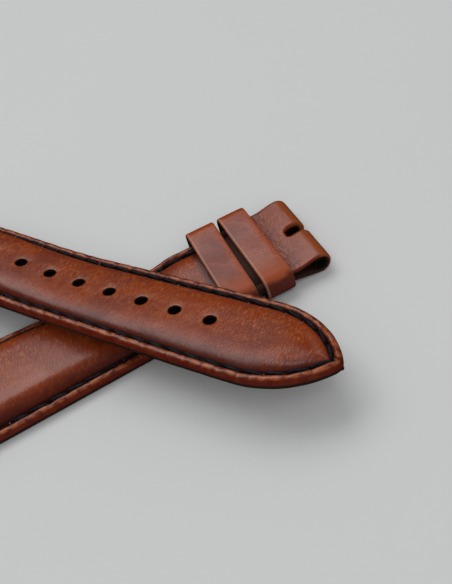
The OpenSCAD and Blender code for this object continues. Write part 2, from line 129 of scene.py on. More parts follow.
# The padded body's height over its underside at each of the lip's and the edge's steps
bodyWall = [0.73, 0.73, 0.73, 0.71, 0.34, 0.17, 0.12, 0.18, 0.40,
            0.78, 1.30, 1.70, 1.97, 2.15, 2.27, 2.34, 2.36, 2.31, 2.20, 2.03, 1.83, 1.68, 1.6]
centreCount = 13
noHole = 9.0          # stands for the distance from a tongue hole where there is none
sideDepths = np.array(lipSteps + edgeSteps + slopeSteps)
sideCount = len(sideDepths)
wallCount = len(lipSteps) + len(edgeSteps)
halfCount = sideCount + centreCount + 1
ringCount = 2 * halfCount - 1
crownRise = [(0, 0), (0.25, 0.1), (0.5, 0.25), (1.0, 0.5), (1.6, 0.7), (2.4, 0.85), (3.4, 0.94),
             (4.6, 0.98), (7.4, 1.0)]


def ringDepths(span):            # distance from the edge, for each point from the lip's end to the middle
    span = np.asarray(span, float)[:, None]
    inner = sideDepths[-1] + 0.3
    reach = np.maximum(span, inner + 1.6)
    middle = inner + (reach - inner) * np.arange(centreCount + 1) / centreCount
    depths = np.hstack([np.repeat(sideDepths[None, :], len(span), 0), middle])
    k = np.arange(halfCount)
    onward = (k - len(lipSteps)) / (halfCount - 1 - len(lipSteps))
    limit = np.where(k < len(lipSteps), 0.8, 0.3 + 0.7 * onward)
    return np.minimum(depths, span * limit[None, :])


def crownHeights(depths, span, crown):      # body section over the furrow
    span, crown = np.asarray(span, float)[:, None], np.asarray(crown, float)[:, None]
    full = throughPoints(crownRise, np.maximum(span - section["seamIn"], 0.01))
    part = throughPoints(crownRise, np.maximum(depths - section["seamIn"], 0))
    short = part / np.maximum(full, 0.02)
    reach = np.clip((depths - section["seamIn"]) / np.maximum(span - section["seamIn"], 0.05), 0, 1)
    dome = mix(short * (2 - short), reach * (2 - reach), 0.5)
    soft = ease((halfEnd - span) / 3.5)    # toward the tip the two slopes meet in a round, not a ridge
    stretch = np.where(span < halfEnd, mix(short, dome, soft), part)
    return section["furrowH"] + (crown - section["furrowH"]) * np.minimum(stretch, 1)


def ringHeights(depths, span, crown, level, top, under):
    crown, level = np.asarray(crown, float), np.asarray(level, float)[:, None]
    top, under = np.asarray(top, float)[:, None], np.asarray(under, float)[:, None]
    body = crownHeights(depths, span, crown)
    body[:, :wallCount] = np.array(bodyWall)[None, :]
    tall = top - under
    round1 = np.minimum(0.55, 0.45 * tall)
    flat = np.empty_like(depths)
    k = np.arange(halfCount)
    drop = 1 - np.sqrt(np.clip(1 - (1 - depths / 0.6) ** 2, 0, 1)) * (depths < 0.6) - (depths >= 0.6)
    low = k <= len(lipSteps)
    flat[:, low] = np.where(under > 0, body[:, low], (under + round1 * drop)[:, low])
    flat[:, ~low] = (top - round1 * drop)[:, ~low]
    wallLow = len(lipSteps)
    flat[:, wallLow] = (tall * 0.36)[:, 0]
    flat[:, wallLow + 1] = (tall * 0.6)[:, 0]
    return mix(body, flat, level)


def fullRing(half, sign=1):      # a half ring and its mirror image
    return np.hstack([half, sign * half[:, -2::-1]])


def coreHalf(depths, span, crown, open_, under):
    # the inner face: under the crown where the piece is padded, else the flat underside
    span1, crown1 = np.asarray(span, float), np.asarray(crown, float)
    rise = crown1 - section["furrowH"]
    outD, outH = np.empty_like(depths), np.empty_like(depths)
    flatSteps, risingSteps = 8, 22
    seat, ramp, crest = 2.35, 3.3, 5.1      # from the edge to where the lip's seat ends and the board rises
    for r in range(len(depths)):
        d = depths[r].copy()
        if open_[r]:
            s = span1[r]
            d[:flatSteps] = np.linspace(section["lipW"], seat, flatSteps)
            d[flatSteps:risingSteps] = np.linspace(seat, ramp, risingSteps - flatSteps + 1)[1:]
            d[risingSteps:sideCount] = np.linspace(ramp, sideDepths[-1], sideCount - risingSteps + 1)[1:]
            d[risingSteps:sideCount] = np.minimum(d[risingSteps:sideCount], depths[r, sideCount])
            knots = [seat, ramp, crest, max(s, crest + 0.1)]
            heights = [section["lipTop"], section["furrowH"] + 0.62 * rise[r] - 0.7,
                       section["furrowH"] + 0.93 * rise[r] - section["upperT"], crown1[r] - section["upperT"]]
            h = np.interp(d, knots, heights)
            h[:flatSteps] = section["lipTop"]
        else:
            first = depths[r, 0]
            last = max(first + 0.03, depths[r, sideCount] - 0.02)
            d[:sideCount] = np.linspace(first + 0.02, last, sideCount)
            d[sideCount:] = np.maximum(d[sideCount:], d[sideCount - 1])
            h = np.full(halfCount, float(under[r]))
        outD[r], outH[r] = d, h
    return outD, outH


def buildShell(name, outer, inner, keep, marks):
    # outer and inner are rows of points of the same count; cells that keep leaves out become holes
    rows, cols = outer.shape[:2]
    points = np.concatenate([outer.reshape(-1, 3), inner.reshape(-1, 3)])
    index = np.arange(rows * cols).reshape(rows, cols)
    shift = rows * cols
    faces = []
    for r in range(rows - 1):
        for c in range(cols - 1):
            if keep[r, c]:
                a, b, e, f = index[r, c], index[r, c + 1], index[r + 1, c + 1], index[r + 1, c]
                faces.append((a, b, e, f))
                faces.append((f + shift, e + shift, b + shift, a + shift))
    edges = {}
    for face in faces:
        for k in range(4):
            a, b = face[k], face[(k + 1) % 4]
            edges[(a, b)] = edges.get((a, b), 0) + 1
    for (a, b) in list(edges):
        if a < shift and b < shift and (b, a) not in edges:
            faces.append((b, a, a + shift, b + shift))
    mesh = bpy.data.meshes.new(name)
    mesh.from_pydata([tuple(p) for p in points], [], faces)
    place = mesh.attributes.new("strapPlace", "FLOAT_VECTOR", "POINT")
    wear = mesh.attributes.new("strapMarks", "FLOAT_VECTOR", "POINT")
    place.data.foreach_set("vector", np.concatenate([marks[0].reshape(-1, 3)] * 2).astype(np.float32).ravel())
    wear.data.foreach_set("vector", np.concatenate([marks[1].reshape(-1, 3)] * 2).astype(np.float32).ravel())
    obj = bpy.data.objects.new(name, mesh)
    bpy.context.scene.collection.objects.link(obj)
    selectOnly(obj)
    bpy.ops.object.mode_set(mode="EDIT")
    bpy.ops.mesh.select_all(action="SELECT")
    bpy.ops.mesh.delete_loose()
    bpy.ops.mesh.select_all(action="SELECT")
    bpy.ops.mesh.remove_doubles(threshold=2e-6)
    bpy.ops.mesh.select_all(action="SELECT")
    bpy.ops.mesh.normals_make_consistent(inside=False)
    bpy.ops.object.mode_set(mode="OBJECT")
    bpy.ops.object.shade_smooth()
    return obj


def selectOnly(*objs):
    bpy.ops.object.select_all(action="DESELECT")
    for obj in objs:
        obj.select_set(True)
    bpy.context.view_layer.objects.active = objs[0]


# The short piece: its X runs from the bar hole toward the watch end
shortPiece = {
    "neckBase": 1.13, "neckEnd": 21.2, "padStart": 19.7, "rampLen": 6.0, "fold": 63.7, "bar": 70.7,
    "neckCrown": 2.8, "lugCrown": 4.6, "bodyStart": 5.3, "keeperX": 5.8, "morph": 3.5,
    "seamFrom": 13.3, "bodyEnd": 7.6, "rowStep": 0.345, "liningEnd": 9.28, "liningStep": 0.4,
}
# The long piece: distances run from its tip toward the watch end
longPiece = {
    "pointLen": 15.3, "crown": 3.2, "lugCrown": 4.6, "taperFrom": 49.7, "fold": 110.85, "bar": 117.85,
    "firstHole": 23.7, "holePitch": 7.0, "holeCount": 8, "holeR": 1.05, "angle": 54.4,
    "crossAt": (-23.7, -15.9, 0.0), "bank": 8.2, "bankRate": 0.12, "fall": 0.03, "holeBase": 6.526,
    "bendStart": 52.7, "bendTop": 75.7, "land": 109.85, "seamStart": 0.0, "rowStep": 1 / 3, "tipRound": 0.6,
    "swellFrom": 45.7, "swellRun": 45, "tipRows": 66, "liningTipRows": 58,
}
# Each side of the point is an arc that runs into the straight edge
tipR = (longPiece["pointLen"] ** 2 + halfEnd ** 2) / (2 * halfEnd)
tipC = tipR - halfEnd


def shortHalf(x):
    return mix(section["endW"], section["lugW"], share(x, shortPiece["padStart"], shortPiece["fold"])) / 2


def shortBase(x):
    return shortPiece["neckBase"] * (1 - ease((x - shortPiece["neckEnd"]) / shortPiece["rampLen"]))


def shortCrown(x):
    rise = (x - shortPiece["padStart"]) / (shortPiece["fold"] - shortPiece["padStart"]) * 1.5
    return mix(shortPiece["neckCrown"], shortPiece["lugCrown"], ease(rise))


def shortPoints(x, y, h):
    slope = (shortBase(x + 0.05) - shortBase(x - 0.05)) / 0.1
    return np.stack([-x + slope * h, y + 0 * h, shortBase(x) + h], -1)


def hermite(z0, m0, z1, m1, run, t):
    return ((2 * t ** 3 - 3 * t ** 2 + 1) * z0 + (t ** 3 - 2 * t ** 2 + t) * run * m0
            + (3 * t ** 2 - 2 * t ** 3) * z1 + (t ** 3 - t ** 2) * run * m1)


def layHeight(a):
    p = longPiece
    start = p["holeBase"] - p["fall"] * (p["bendStart"] - p["firstHole"])
    top = p["holeBase"] - 0.05
    first = p["holeBase"] - p["fall"] * (a - p["firstHole"])
    run1, run2 = p["bendTop"] - p["bendStart"], p["land"] - p["bendTop"]
    second = hermite(start, -p["fall"], top, 0.05, run1, (a - p["bendStart"]) / run1)
    third = hermite(top, 0.05, 0, 0, run2, (a - p["bendTop"]) / run2)
    landed = np.where(a < p["land"], third, 0)
    return np.where(a < p["bendStart"], first, np.where(a < p["bendTop"], second, landed))


def layBank(a):
    p = longPiece
    extra = p["bankRate"] * np.clip(a - p["firstHole"], 0, p["bendTop"] - p["firstHole"])
    return -np.radians(p["bank"] + extra) * (1 - ease((a - p["bendTop"]) / (p["land"] - 4 - p["bendTop"])))


def longPoints(a, y, h):
    angle = math.radians(longPiece["angle"])
    u = np.array([-math.cos(angle), math.sin(angle), 0.0])
    v = np.array([math.sin(angle), math.cos(angle), 0.0])
    z = np.array([0.0, 0.0, 1.0])
    a, y, h = np.broadcast_arrays(np.asarray(a, float), np.asarray(y, float), np.asarray(h, float))
    b = layBank(a)[..., None]
    slope = ((layHeight(a + 0.1) - layHeight(a - 0.1)) / 0.2)[..., None]
    across = v * np.cos(b) + z * np.sin(b)
    along = (u + z * slope) / np.sqrt(1 + slope ** 2)
    up = np.cross(across, along)
    start = np.array(longPiece["crossAt"]) + u * (a - longPiece["firstHole"])[..., None]
    return start + z * layHeight(a)[..., None] + across * y[..., None] + up * h[..., None]


def longHalf(a):
    widening = share(a, longPiece["taperFrom"], longPiece["fold"]) ** 1.6
    return mix(section["endW"], section["lugW"], widening) / 2


def longCrown(a):
    rise = (a - longPiece["swellFrom"]) / longPiece["swellRun"]
    return mix(longPiece["crown"], longPiece["lugCrown"], ease(rise))


seamR = tipR - section["seamIn"]
seamTurn = math.acos(tipC / seamR)
seamArc = seamR * seamTurn


def stitchPinch(distance, depths, seed):
    # how the leather gives way at the needle holes along a seam: height lost and the pit's mask
    pitch = section["stitchPitch"]
    stitch = np.floor(distance / pitch + 0.5).astype(int)
    off = distance - stitch * pitch
    draw, most = random.Random(seed), 80
    force = np.array([draw.uniform(0.65, 1.35) for _ in range(most)])[np.clip(stitch, 0, most - 1)]
    seam = depths - section["seamIn"]
    pit = bump(off, 0.42) * bump(seam, 0.40)
    rim = bump(off, 0.62) * bump(seam + 0.85, 0.55)
    crease = bump(off, 0.26) * np.exp(-np.maximum(seam - 0.2, 0) / 0.8) * (seam > 0.1)
    swell = (0.5 - bump(off, 0.9)) * bump(seam + 0.8, 0.6)
    return force * (0.18 * pit + 0.09 * rim + 0.07 * crease - 0.04 * swell), pit


def holePlaces():
    return [longPiece["firstHole"] + longPiece["holePitch"] * k for k in range(longPiece["holeCount"])]


def roundHoles(a, y, nTip):
    # bends the grid round each tongue hole: ring 3 of the cells becomes the hole's edge
    step, holeR = longPiece["rowStep"], longPiece["holeR"]
    a, y = a.copy(), y.copy()
    cols = a.shape[1]
    mid = cols // 2
    blend = {0: 1, 1: 1, 2: 1, 3: 1, 4: 0.85, 5: 0.6, 6: 0.35, 7: 0.12}
    near = np.full(a.shape, 99.0)
    for hole in holePlaces():
        row = nTip + int(round((hole - longPiece["pointLen"]) / step))
        for dr in range(-7, 8):
            for dc in range(-7, 8):
                ring = max(abs(dr), abs(dc))
                r, c = row + dr, mid + dc
                near[r, c] = min(near[r, c], ring)
                if ring == 0:
                    continue
                radius = holeR * ring / 3 if ring <= 3 else holeR + (ring - 3) * step
                way = math.atan2(dc, dr)
                b = blend[ring]
                a[r, c] = mix(a[r, c], hole + radius * math.cos(way), b)
                y[r, c] = mix(y[r, c], -radius * math.sin(way), b)
    return a, y, near


def holeCells(near):
    return ~((near[:-1, :-1] <= 3) & (near[1:, :-1] <= 3) & (near[:-1, 1:] <= 3) & (near[1:, 1:] <= 3))


def roundTip(a, y):               # takes the sharp point back to a small round
    r = longPiece["tipRound"]
    sharp = np.clip(1 - a / (3 * r), 0, 1)
    return a + r * 0.55 * sharp ** 2 * np.exp(-(y / (1.6 * r)) ** 2)


def levelled(a, y, h, width):     # each height read off a plane fitted through the points round it
    gap = np.stack([a[:, None] - a, y[:, None] - y], -1)
    weight = np.exp(-(gap ** 2).sum(-1) / width ** 2)
    terms = np.concatenate([np.ones(weight.shape + (1,)), gap], -1)
    weighed = terms * weight[..., None]
    sums = np.einsum("ijk,j->ik", weighed, h)[..., None]
    return np.linalg.solve(np.einsum("ijk,ijl->ikl", weighed, terms), sums)[:, 0, 0]


def sewnRing(heights, along, depths, soft, seeds):     # full rings with the needle pits of both seams
    sides = []
    for seed in seeds:
        drop, pit = stitchPinch(along, depths, seed)
        sides.append((heights - drop * soft, pit * soft))
    return [np.hstack([one, other[:, -2::-1]]) for one, other in zip(*sides)]


def planPlaces(depth, span, turns, straight):          # distance from the tip and across, on one side
    a, y = np.empty_like(depth), np.empty_like(depth)
    n, t = len(turns), turns[:, None]
    a[:n] = longPiece["pointLen"] - (tipR - depth[:n]) * np.sin(t)
    y[:n] = np.maximum((tipR - depth[:n]) * np.cos(t) - tipC, 0)
    a[n:] = straight[:, None]
    y[n:] = span[n:, None] - depth[n:]
    y[:, -1] = 0
    return a, y


# The watch end: rows past the fold, then the top leather's turn over the bar in degrees
endRows = np.array([-0.1, 0.02, 0.5, 1, 1.6, 2.3, 3, 3.8, 4.8, 5.8])
rollTurns = np.radians([12, 24, 36, 48, 60, 70, 78, 85])


def rolledPlaces(pointsOf, bend, a, y, h):             # wraps the last rows round the watch bar
    lift = section["barR"] + (h - section["barR"]) * np.cos(bend)
    return pointsOf(a + section["barR"] * np.sin(bend), y, np.where(bend > 0, lift, h))


def makeLongTop():
    p = longPiece
    turns = np.linspace(math.acos(tipC / (tipR - 0.06)), 0, p["tipRows"])[:-1]
    runs = np.arange(p["pointLen"], p["fold"] - 0.2, p["rowStep"])
    ends = np.append(p["fold"] + endRows, p["bar"])
    straight = np.concatenate([runs, ends, np.full(len(rollTurns), p["bar"])])
    curl = np.concatenate([np.zeros(len(turns) + len(runs) + len(ends)), rollTurns])
    nTip = len(turns)
    rows = nTip + len(straight)
    span = np.concatenate([tipR - tipC / np.cos(turns), longHalf(straight)])
    run = np.concatenate([p["pointLen"] - tipR * np.sin(turns), straight])
    crown = longCrown(run)
    crown[:nTip] = mix(section["furrowH"], p["crown"], ease(span[:nTip] / halfEnd))
    level = ease((run - p["fold"]) / 3.5)
    under = np.where(run > p["fold"] + 0.01, 0.0, section["lipBase"])
    top = np.full(rows, 2 * section["barR"])
    depths = ringDepths(span)
    heights = ringHeights(depths, span, crown, level, top, np.where(level > 0, under, section["lipBase"]))
    flapRows = (run > p["fold"] + 0.01)[:, None] & (depths[:, :len(lipSteps)] > 0.4)
    heights[:, :len(lipSteps)] = np.where(flapRows, 0.0, heights[:, :len(lipSteps)])
    open_ = np.zeros(rows, bool)
    core = math.acos(tipC / (tipR - section["lipW"] - 1.5))
    open_[:nTip] = turns <= core
    open_[nTip:] = straight < p["fold"] - 0.05
    coreD, coreH = coreHalf(depths, span, crown, open_, under)

    aOut, yOut = planPlaces(depths, span, turns, straight)
    aIn, yIn = planPlaces(coreD, span, turns, straight)
    distance = np.concatenate([seamR * (seamTurn - turns), seamArc + straight - p["pointLen"]])
    distance = distance - p["seamStart"]
    topSide = np.arange(halfCount) >= len(lipSteps)
    along = np.repeat(distance[:, None], halfCount, 1)
    soft = (1 - level)[:, None] * topSide[None, :]
    ha, pits = sewnRing(heights, along, depths, soft * share(span, 1.9, 3.2)[:, None], (11, 23))
    aAll, yAll = fullRing(aOut), fullRing(yOut, -1)
    hIn = fullRing(coreH)
    aInAll, yInAll = fullRing(aIn), fullRing(yIn, -1)
    dAll = fullRing(depths)
    soften = ease((dAll - 1.8) / 1.5)
    tip = (dAll > 1.9) & (span < halfEnd + 0.3)[:, None] & (np.arange(rows) < nTip + 8)[:, None]
    domed = ease((halfEnd - span) / 2)[:, None] * ease((dAll - 2.2) / 2.6)
    ha[tip] = mix(ha[tip], levelled(aAll[tip], yAll[tip], ha[tip], 1.3), domed[tip])
    ha = ha + (0.022 * ripple(aAll, yAll, 11, 5) + 0.008 * ripple(aAll, yAll, 3, 6)) * soften
    outward = ease((1.5 - dAll) / 1.2) * share(np.abs(yAll), 1, 4)
    yAll = yAll + 0.03 * ripple(aAll, np.sign(yAll) * 7, 6, 8) * outward * np.sign(yAll)
    ha = ha + 0.03 * ripple(aAll, np.sign(yAll) * 7, 3, 9) * outward * (ha > 1.2)
    aAll = roundTip(aAll, yAll)

    aAll, yAll, near = roundHoles(aAll, yAll, nTip)
    aInAll, yInAll, _ = roundHoles(aInAll, yInAll, nTip)
    sink = np.select([near <= 3, near == 4, near == 5, near == 6], [0.20, 0.09, 0.05, 0.02], 0)
    ha = ha - 0.6 * sink

    bend = np.repeat(curl[:, None], ringCount, 1)
    outer = toFrame(rolledPlaces(longPoints, bend, aAll, yAll, ha))
    inner = toFrame(rolledPlaces(longPoints, bend, aInAll, yInAll, hIn))
    fromHole = np.full(aAll.shape, noHole)
    for hole in holePlaces():
        fromHole = np.minimum(fromHole, np.hypot(aAll - hole, yAll))
    topMask = topSideMask()[None, :] * np.ones_like(pits)
    marks = (np.stack([aAll, yAll, dAll], -1), np.stack([pits, fromHole, topMask], -1))
    return buildShell("longTopLeather", outer, inner, holeCells(near), marks)


def topSideMask():
    half = (np.arange(halfCount) >= len(lipSteps) + 1).astype(float)
    return np.concatenate([half, half[-2::-1]])


longTop = makeLongTop()
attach(longTop, "long_piece")
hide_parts("long_upper")
print("long piece's top leather made")


# The short piece's leather: padded body, then one ply over the bar and back under
loop = {
    # outer face of the ply in side view, in the frame: x forward of the bar, height from the bar
    "over": [(-7.4, 1.72), (-6.4, 1.60), (-5.4, 1.46), (-4.4, 1.40), (-3.4, 1.52), (-2.4, 1.76),
             (-1.5, 1.98), (-0.75, 2.10), (0.0, 2.15)],
    "back": [(-1.0, -1.98), (-2.0, -1.76), (-3.2, -1.50), (-4.4, -1.24), (-5.4, -1.06), (-6.2, -1.01),
             (-7.1, -1.01)],
    "ply": 0.95, "lastPly": 0.70, "slotHalf": 1.3, "slotBack": 2.6,
}


def resample(points, step):
    pts = np.array(points, float)
    # two rounds of corner cutting, then even spacing
    for _ in range(2):
        q = [pts[0]]
        for k in range(len(pts) - 1):
            q += [pts[k] * 0.75 + pts[k + 1] * 0.25, pts[k] * 0.25 + pts[k + 1] * 0.75]
        q.append(pts[-1])
        pts = np.array(q)
    gone = np.concatenate([[0], np.cumsum(np.linalg.norm(np.diff(pts, axis=0), axis=1))])
    count = max(2, int(round(gone[-1] / step)))
    at = np.linspace(0, gone[-1], count + 1)
    return np.stack([np.interp(at, gone, pts[:, 0]), np.interp(at, gone, pts[:, 1])], -1)


def slotSides(y, x):              # draws the columns beside the slot in to its round inner end
    out = y.copy()
    mid = y.shape[1] // 2
    half, back = loop["slotHalf"], loop["slotBack"]
    for r in range(len(x)):
        if x[r] > half - back:
            width = half
        elif x[r] > -back:
            width = max(0.25, half * math.sqrt(max(0, 1 - ((x[r] + back - half) / half) ** 2)))
        else:
            width = mix(0.25, half, float(ease((-back - x[r]) / 1.6)))
        for c in range(y.shape[1]):
            off = abs(c - mid)
            if off <= 4:
                out[r, c] = math.copysign(width * off / 4, y[r, c])
            elif off <= 10:
                out[r, c] = mix(math.copysign(width * off / 4, y[r, c]), y[r, c], (off - 4) / 6)
    return out


def makeShortTop():
    p = shortPiece
    lugRows = np.append(np.full(len(rollTurns) + 1, p["bar"]), p["fold"] + endRows[::-1])
    x = np.append(lugRows, np.arange(p["fold"] - 0.35, p["bodyEnd"], -p["rowStep"]))
    curl = np.append(rollTurns[::-1], np.zeros(len(x) - len(rollTurns)))
    nBody = len(x)
    span = shortHalf(x)
    crown = shortCrown(x)
    onNeck = x < p["neckEnd"]
    level = np.where(onNeck, 1 - ease((x - p["keeperX"]) / p["morph"]), ease((x - p["fold"]) / p["morph"]))
    top = np.where(onNeck, p["neckCrown"] - 0.3 + 0.3 * ease((x - p["bodyStart"]) / 2), 2 * section["barR"])
    under = np.where(x > p["fold"] + 0.01, 0.0, section["lipBase"])
    depths = ringDepths(span)
    heights = ringHeights(depths, span, crown, level, top, under)
    flapRows = (x > p["fold"] + 0.01)[:, None] & (depths[:, :len(lipSteps)] > 0.4)
    heights[:, :len(lipSteps)] = np.where(flapRows, 0.0, heights[:, :len(lipSteps)])
    open_ = (x > p["neckEnd"] + 2.5) & (x < p["fold"] - 0.05)
    coreD, coreH = coreHalf(depths, span, crown, open_, under)
    seamAt = np.repeat((x - p["seamFrom"])[:, None], halfCount, 1)
    topSide = np.arange(halfCount) >= len(lipSteps)
    soft = ((1 - level) * (x > 9))[:, None] * topSide[None, :]
    h, pits = sewnRing(heights, seamAt, depths, soft, (31, 47))
    y = fullRing(span[:, None] - depths, -1)
    yIn = fullRing(span[:, None] - coreD, -1)
    hIn = fullRing(coreH)
    d = fullRing(depths)
    xs = np.repeat(x[:, None], ringCount, 1)
    wavy = 0.02 * ripple(xs, y, 12, 15) + 0.008 * ripple(xs, y, 3, 16)
    h = h + wavy * ease((d - 1.8) / 1.5) * (1 - level)[:, None]
    bend = np.repeat(curl[:, None], ringCount, 1)
    outBody = rolledPlaces(shortPoints, bend, xs, y, h)
    inBody = rolledPlaces(shortPoints, bend, xs, yIn, hIn)

    # the ply round the bar: rows follow the side view, its half ring wraps round the ply's edge
    barR = section["barR"]
    arc = [(barR * math.sin(t), barR * math.cos(t)) for t in np.radians(np.arange(8, 173, 8))]
    side = resample(loop["over"] + arc + [(0.0, -2.14)] + loop["back"], 0.3)
    way = np.gradient(side, axis=0)
    way /= np.linalg.norm(way, axis=1)[:, None]
    normal = np.stack([-way[:, 1], way[:, 0]], -1)
    gone = np.concatenate([[0], np.cumsum(np.linalg.norm(np.diff(side, axis=0), axis=1))])
    ply = mix(loop["ply"], loop["lastPly"], ease((gone - gone[-1] + 4) / 3.0))
    plyD = np.interp(np.arange(halfCount), [0, 3, 5, 7, 9, 10, 12, 14, 16, sideCount, halfCount - 1],
                     [1.6, 0.7, 0.32, 0.1, 0.0, 0.0, 0.1, 0.32, 0.7, 4.7, halfEnd])
    plyDeep = np.interp(np.arange(halfCount), [0, 3, 5, 7, 9, 10, 12, 14, 16, halfCount - 1],
                        [1.0, 1.0, 0.97, 0.83, 0.62, 0.38, 0.17, 0.03, 0.0, 0.0])
    innerD = np.interp(np.arange(halfCount), [0, sideCount, halfCount - 1], [1.65, 4.7, halfEnd])
    n = len(side)
    yPly = np.repeat(halfEnd - plyD[None, :], n, 0)
    inPly = np.repeat(halfEnd - innerD[None, :], n, 0)
    yPly, inPly = slotSides(fullRing(yPly, -1), side[:, 0]), slotSides(fullRing(inPly, -1), side[:, 0])
    deep = fullRing(np.repeat(plyDeep[None, :], n, 0)) * ply[:, None]
    deepIn = np.repeat(ply[:, None], ringCount, 1)

    def plyPlace(yy, dd):
        px = side[:, None, 0] - normal[:, None, 0] * dd
        pz = side[:, None, 1] - normal[:, None, 1] * dd
        return np.stack([px, yy, pz + barHeight], -1)
    outPly = plyPlace(yPly, deep)
    inPlyP = plyPlace(inPly, deepIn)
    outer = np.concatenate([outBody, outPly])
    inner = np.concatenate([inBody, inPlyP])
    keep = np.ones((len(outer) - 1, ringCount - 1), bool)
    mid = ringCount // 2
    inSlot = side[:, 0] > -loop["slotBack"]
    for k in range(n - 1):
        if inSlot[k] and inSlot[k + 1]:
            keep[nBody + k, mid - 4:mid + 4] = False
    along = np.concatenate([xs, np.repeat(-side[:, :1], ringCount, 1)])
    across = np.concatenate([y, yPly])
    dAll = np.concatenate([d, fullRing(np.repeat(plyD[None, :], n, 0))])
    pits = np.concatenate([pits, np.zeros((n, ringCount))])
    # the ply's face toward the bar takes the underside's colour, and so does the inner half of its cut edge:
    # there it is painted shade that makes the dark channel round the bar look wider
    plyMask = 1 - fullRing(np.repeat(plyDeep[None, :], n, 0))
    topMask = np.concatenate([np.repeat(topSideMask()[None, :], nBody, 0), plyMask])
    fromHole = np.full(along.shape, noHole)
    marks = (np.stack([along, across, dAll], -1), np.stack([pits, fromHole, topMask], -1))
    return buildShell("shortTopLeather", toFrame(outer), toFrame(inner), keep, marks)


shortTop = makeShortTop()
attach(shortTop, "short_piece")
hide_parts("short_upper")
print("short piece's top leather made")


def boreBar(obj, middle, along):      # cuts the channel of the watch end's bar
    length = 30
    bpy.ops.object.select_all(action="DESELECT")
    bpy.ops.mesh.primitive_cylinder_add(vertices=40, radius=section["boreR"] * mm, depth=length * mm,
                                        location=middle)
    cutter = bpy.context.object
    cutter.rotation_euler = Vector(along).to_track_quat("Z", "Y").to_euler()
    selectOnly(obj)
    cut = obj.modifiers.new("bore", "BOOLEAN")
    cut.operation, cut.solver, cut.object = "DIFFERENCE", "EXACT", cutter
    bpy.ops.object.modifier_apply(modifier=cut.name)
    bpy.data.objects.remove(cutter)


barPlace = toFrame(longPoints(longPiece["bar"], 0, section["barR"]))
boreBar(longTop, barPlace, longPoints(longPiece["bar"], 1, 0) - longPoints(longPiece["bar"], 0, 0))
boreBar(shortTop, toFrame((-shortPiece["bar"], 0, section["barR"])), (0, 1, 0))
print("bar channels cut")


def makeLongLining():
    p = longPiece
    turns = np.linspace(math.acos(tipC / (tipR - section["seamIn"])), 0, p["liningTipRows"])[:-1]
    straight = np.concatenate([np.arange(p["pointLen"], p["fold"] - 0.2, p["rowStep"]), [p["fold"] - 0.02]])
    nTip = len(turns)
    span = np.concatenate([tipR - tipC / np.cos(turns), longHalf(straight)])
    depths, heights, innerD = liningSection(span)

    a, y = planPlaces(depths, span, turns, straight)
    aIn, yIn = planPlaces(innerD, span, turns, straight)
    a, y, near = roundHoles(fullRing(a), fullRing(y, -1), nTip)
    aIn, yIn, _ = roundHoles(fullRing(aIn), fullRing(yIn, -1), nTip)
    h = fullRing(heights) + np.select([near <= 3, near == 4], [0.08, 0.02], 0)
    top = np.full(a.shape, section["liningT"])
    keep = holeCells(near)
    marks = (np.stack([a, y, fullRing(depths)], -1), np.stack([0 * a, 0 * a + noHole, 0 * a], -1))
    outer, inner = toFrame(longPoints(a, y, h)), toFrame(longPoints(aIn, yIn, top))
    return buildShell("longLining", outer, inner, keep, marks)


# The lining's rim and its sewn furrow: (distance from the edge, height) from the upper face round to the back
liningSteps = [(1.15, 0.70), (1.0, 0.70), (0.88, 0.67), (0.81, 0.58), (0.80, 0.40), (0.81, 0.22),
               (0.86, 0.09), (0.96, 0.02), (1.10, 0.0), (1.24, 0.05), (1.38, 0.22), (1.50, 0.37),
               (1.6, 0.42), (1.70, 0.37), (1.82, 0.22), (1.96, 0.05), (2.12, 0.0), (2.6, 0.0),
               (3.3, 0.0), (4.2, 0.0)]


def liningSection(span):
    count = len(liningSteps)
    steps = np.array(liningSteps)
    reach = np.maximum(span[:, None], 6.2)
    middle = 4.7 + (reach - 4.7) * np.arange(centreCount + 1) / centreCount
    depths = np.hstack([np.repeat(steps[None, :, 0], len(span), 0), middle])
    total = depths.shape[1]
    k = np.arange(total)
    limit = np.where(k < 8, 0.8 + 0.01 * (8 - k), 0.82 + 0.18 * (k - 8) / (total - 9))
    depths = np.minimum(depths, span[:, None] * limit[None, :])
    heights = np.hstack([np.repeat(steps[None, :, 1], len(span), 0), np.zeros((len(span), centreCount + 1))])
    inner = np.hstack([np.repeat(np.linspace(1.2, 4.5, count)[None, :], len(span), 0), middle])
    inner = np.minimum(inner, span[:, None] * np.where(k < 1, 0.83, 0.83 + 0.17 * k / (total - 1))[None, :])
    return depths, heights, inner


def makeShortLining():
    x = np.arange(shortPiece["fold"] - 0.02, shortPiece["liningEnd"], -shortPiece["liningStep"])
    span = shortHalf(x)
    depths, heights, innerD = liningSection(span)
    xs = np.repeat(x[:, None], 2 * depths.shape[1] - 1, 1)
    y, yIn = fullRing(span[:, None] - depths, -1), fullRing(span[:, None] - innerD, -1)
    h = fullRing(heights)
    keep = np.ones((len(x) - 1, xs.shape[1] - 1), bool)
    marks = (np.stack([xs, y, fullRing(depths)], -1), np.stack([0 * xs, 0 * xs + noHole, 0 * xs], -1))
    top = np.full(xs.shape, section["liningT"])
    outer, inner = toFrame(shortPoints(xs, y, h)), toFrame(shortPoints(xs, yIn, top))
    return buildShell("shortLining", outer, inner, keep, marks)


longLining = makeLongLining()
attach(longLining, "long_piece")
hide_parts("long_lining")
shortLining = makeShortLining()
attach(shortLining, "short_piece")
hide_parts("short_lining")
print("linings made")

# Keepers: bands of leather, each with a lining, closed round the strap
keepers = {
    "half": 10.8, "side": 0.5, "height": 5.23, "corner": 2.2, "thick": 0.65, "liningThick": 0.42, "gap": 0.03,
    "fixed": {"from": 5.8, "width": 5.5, "skew": 0.0}, "free": {"from": 12.5, "width": 5.75, "skew": 0.03},
    "around": 150, "across": 28, "farLift": 0.24, "round": 0.06, "uneven": 0.02, "edge": 0.30,
}


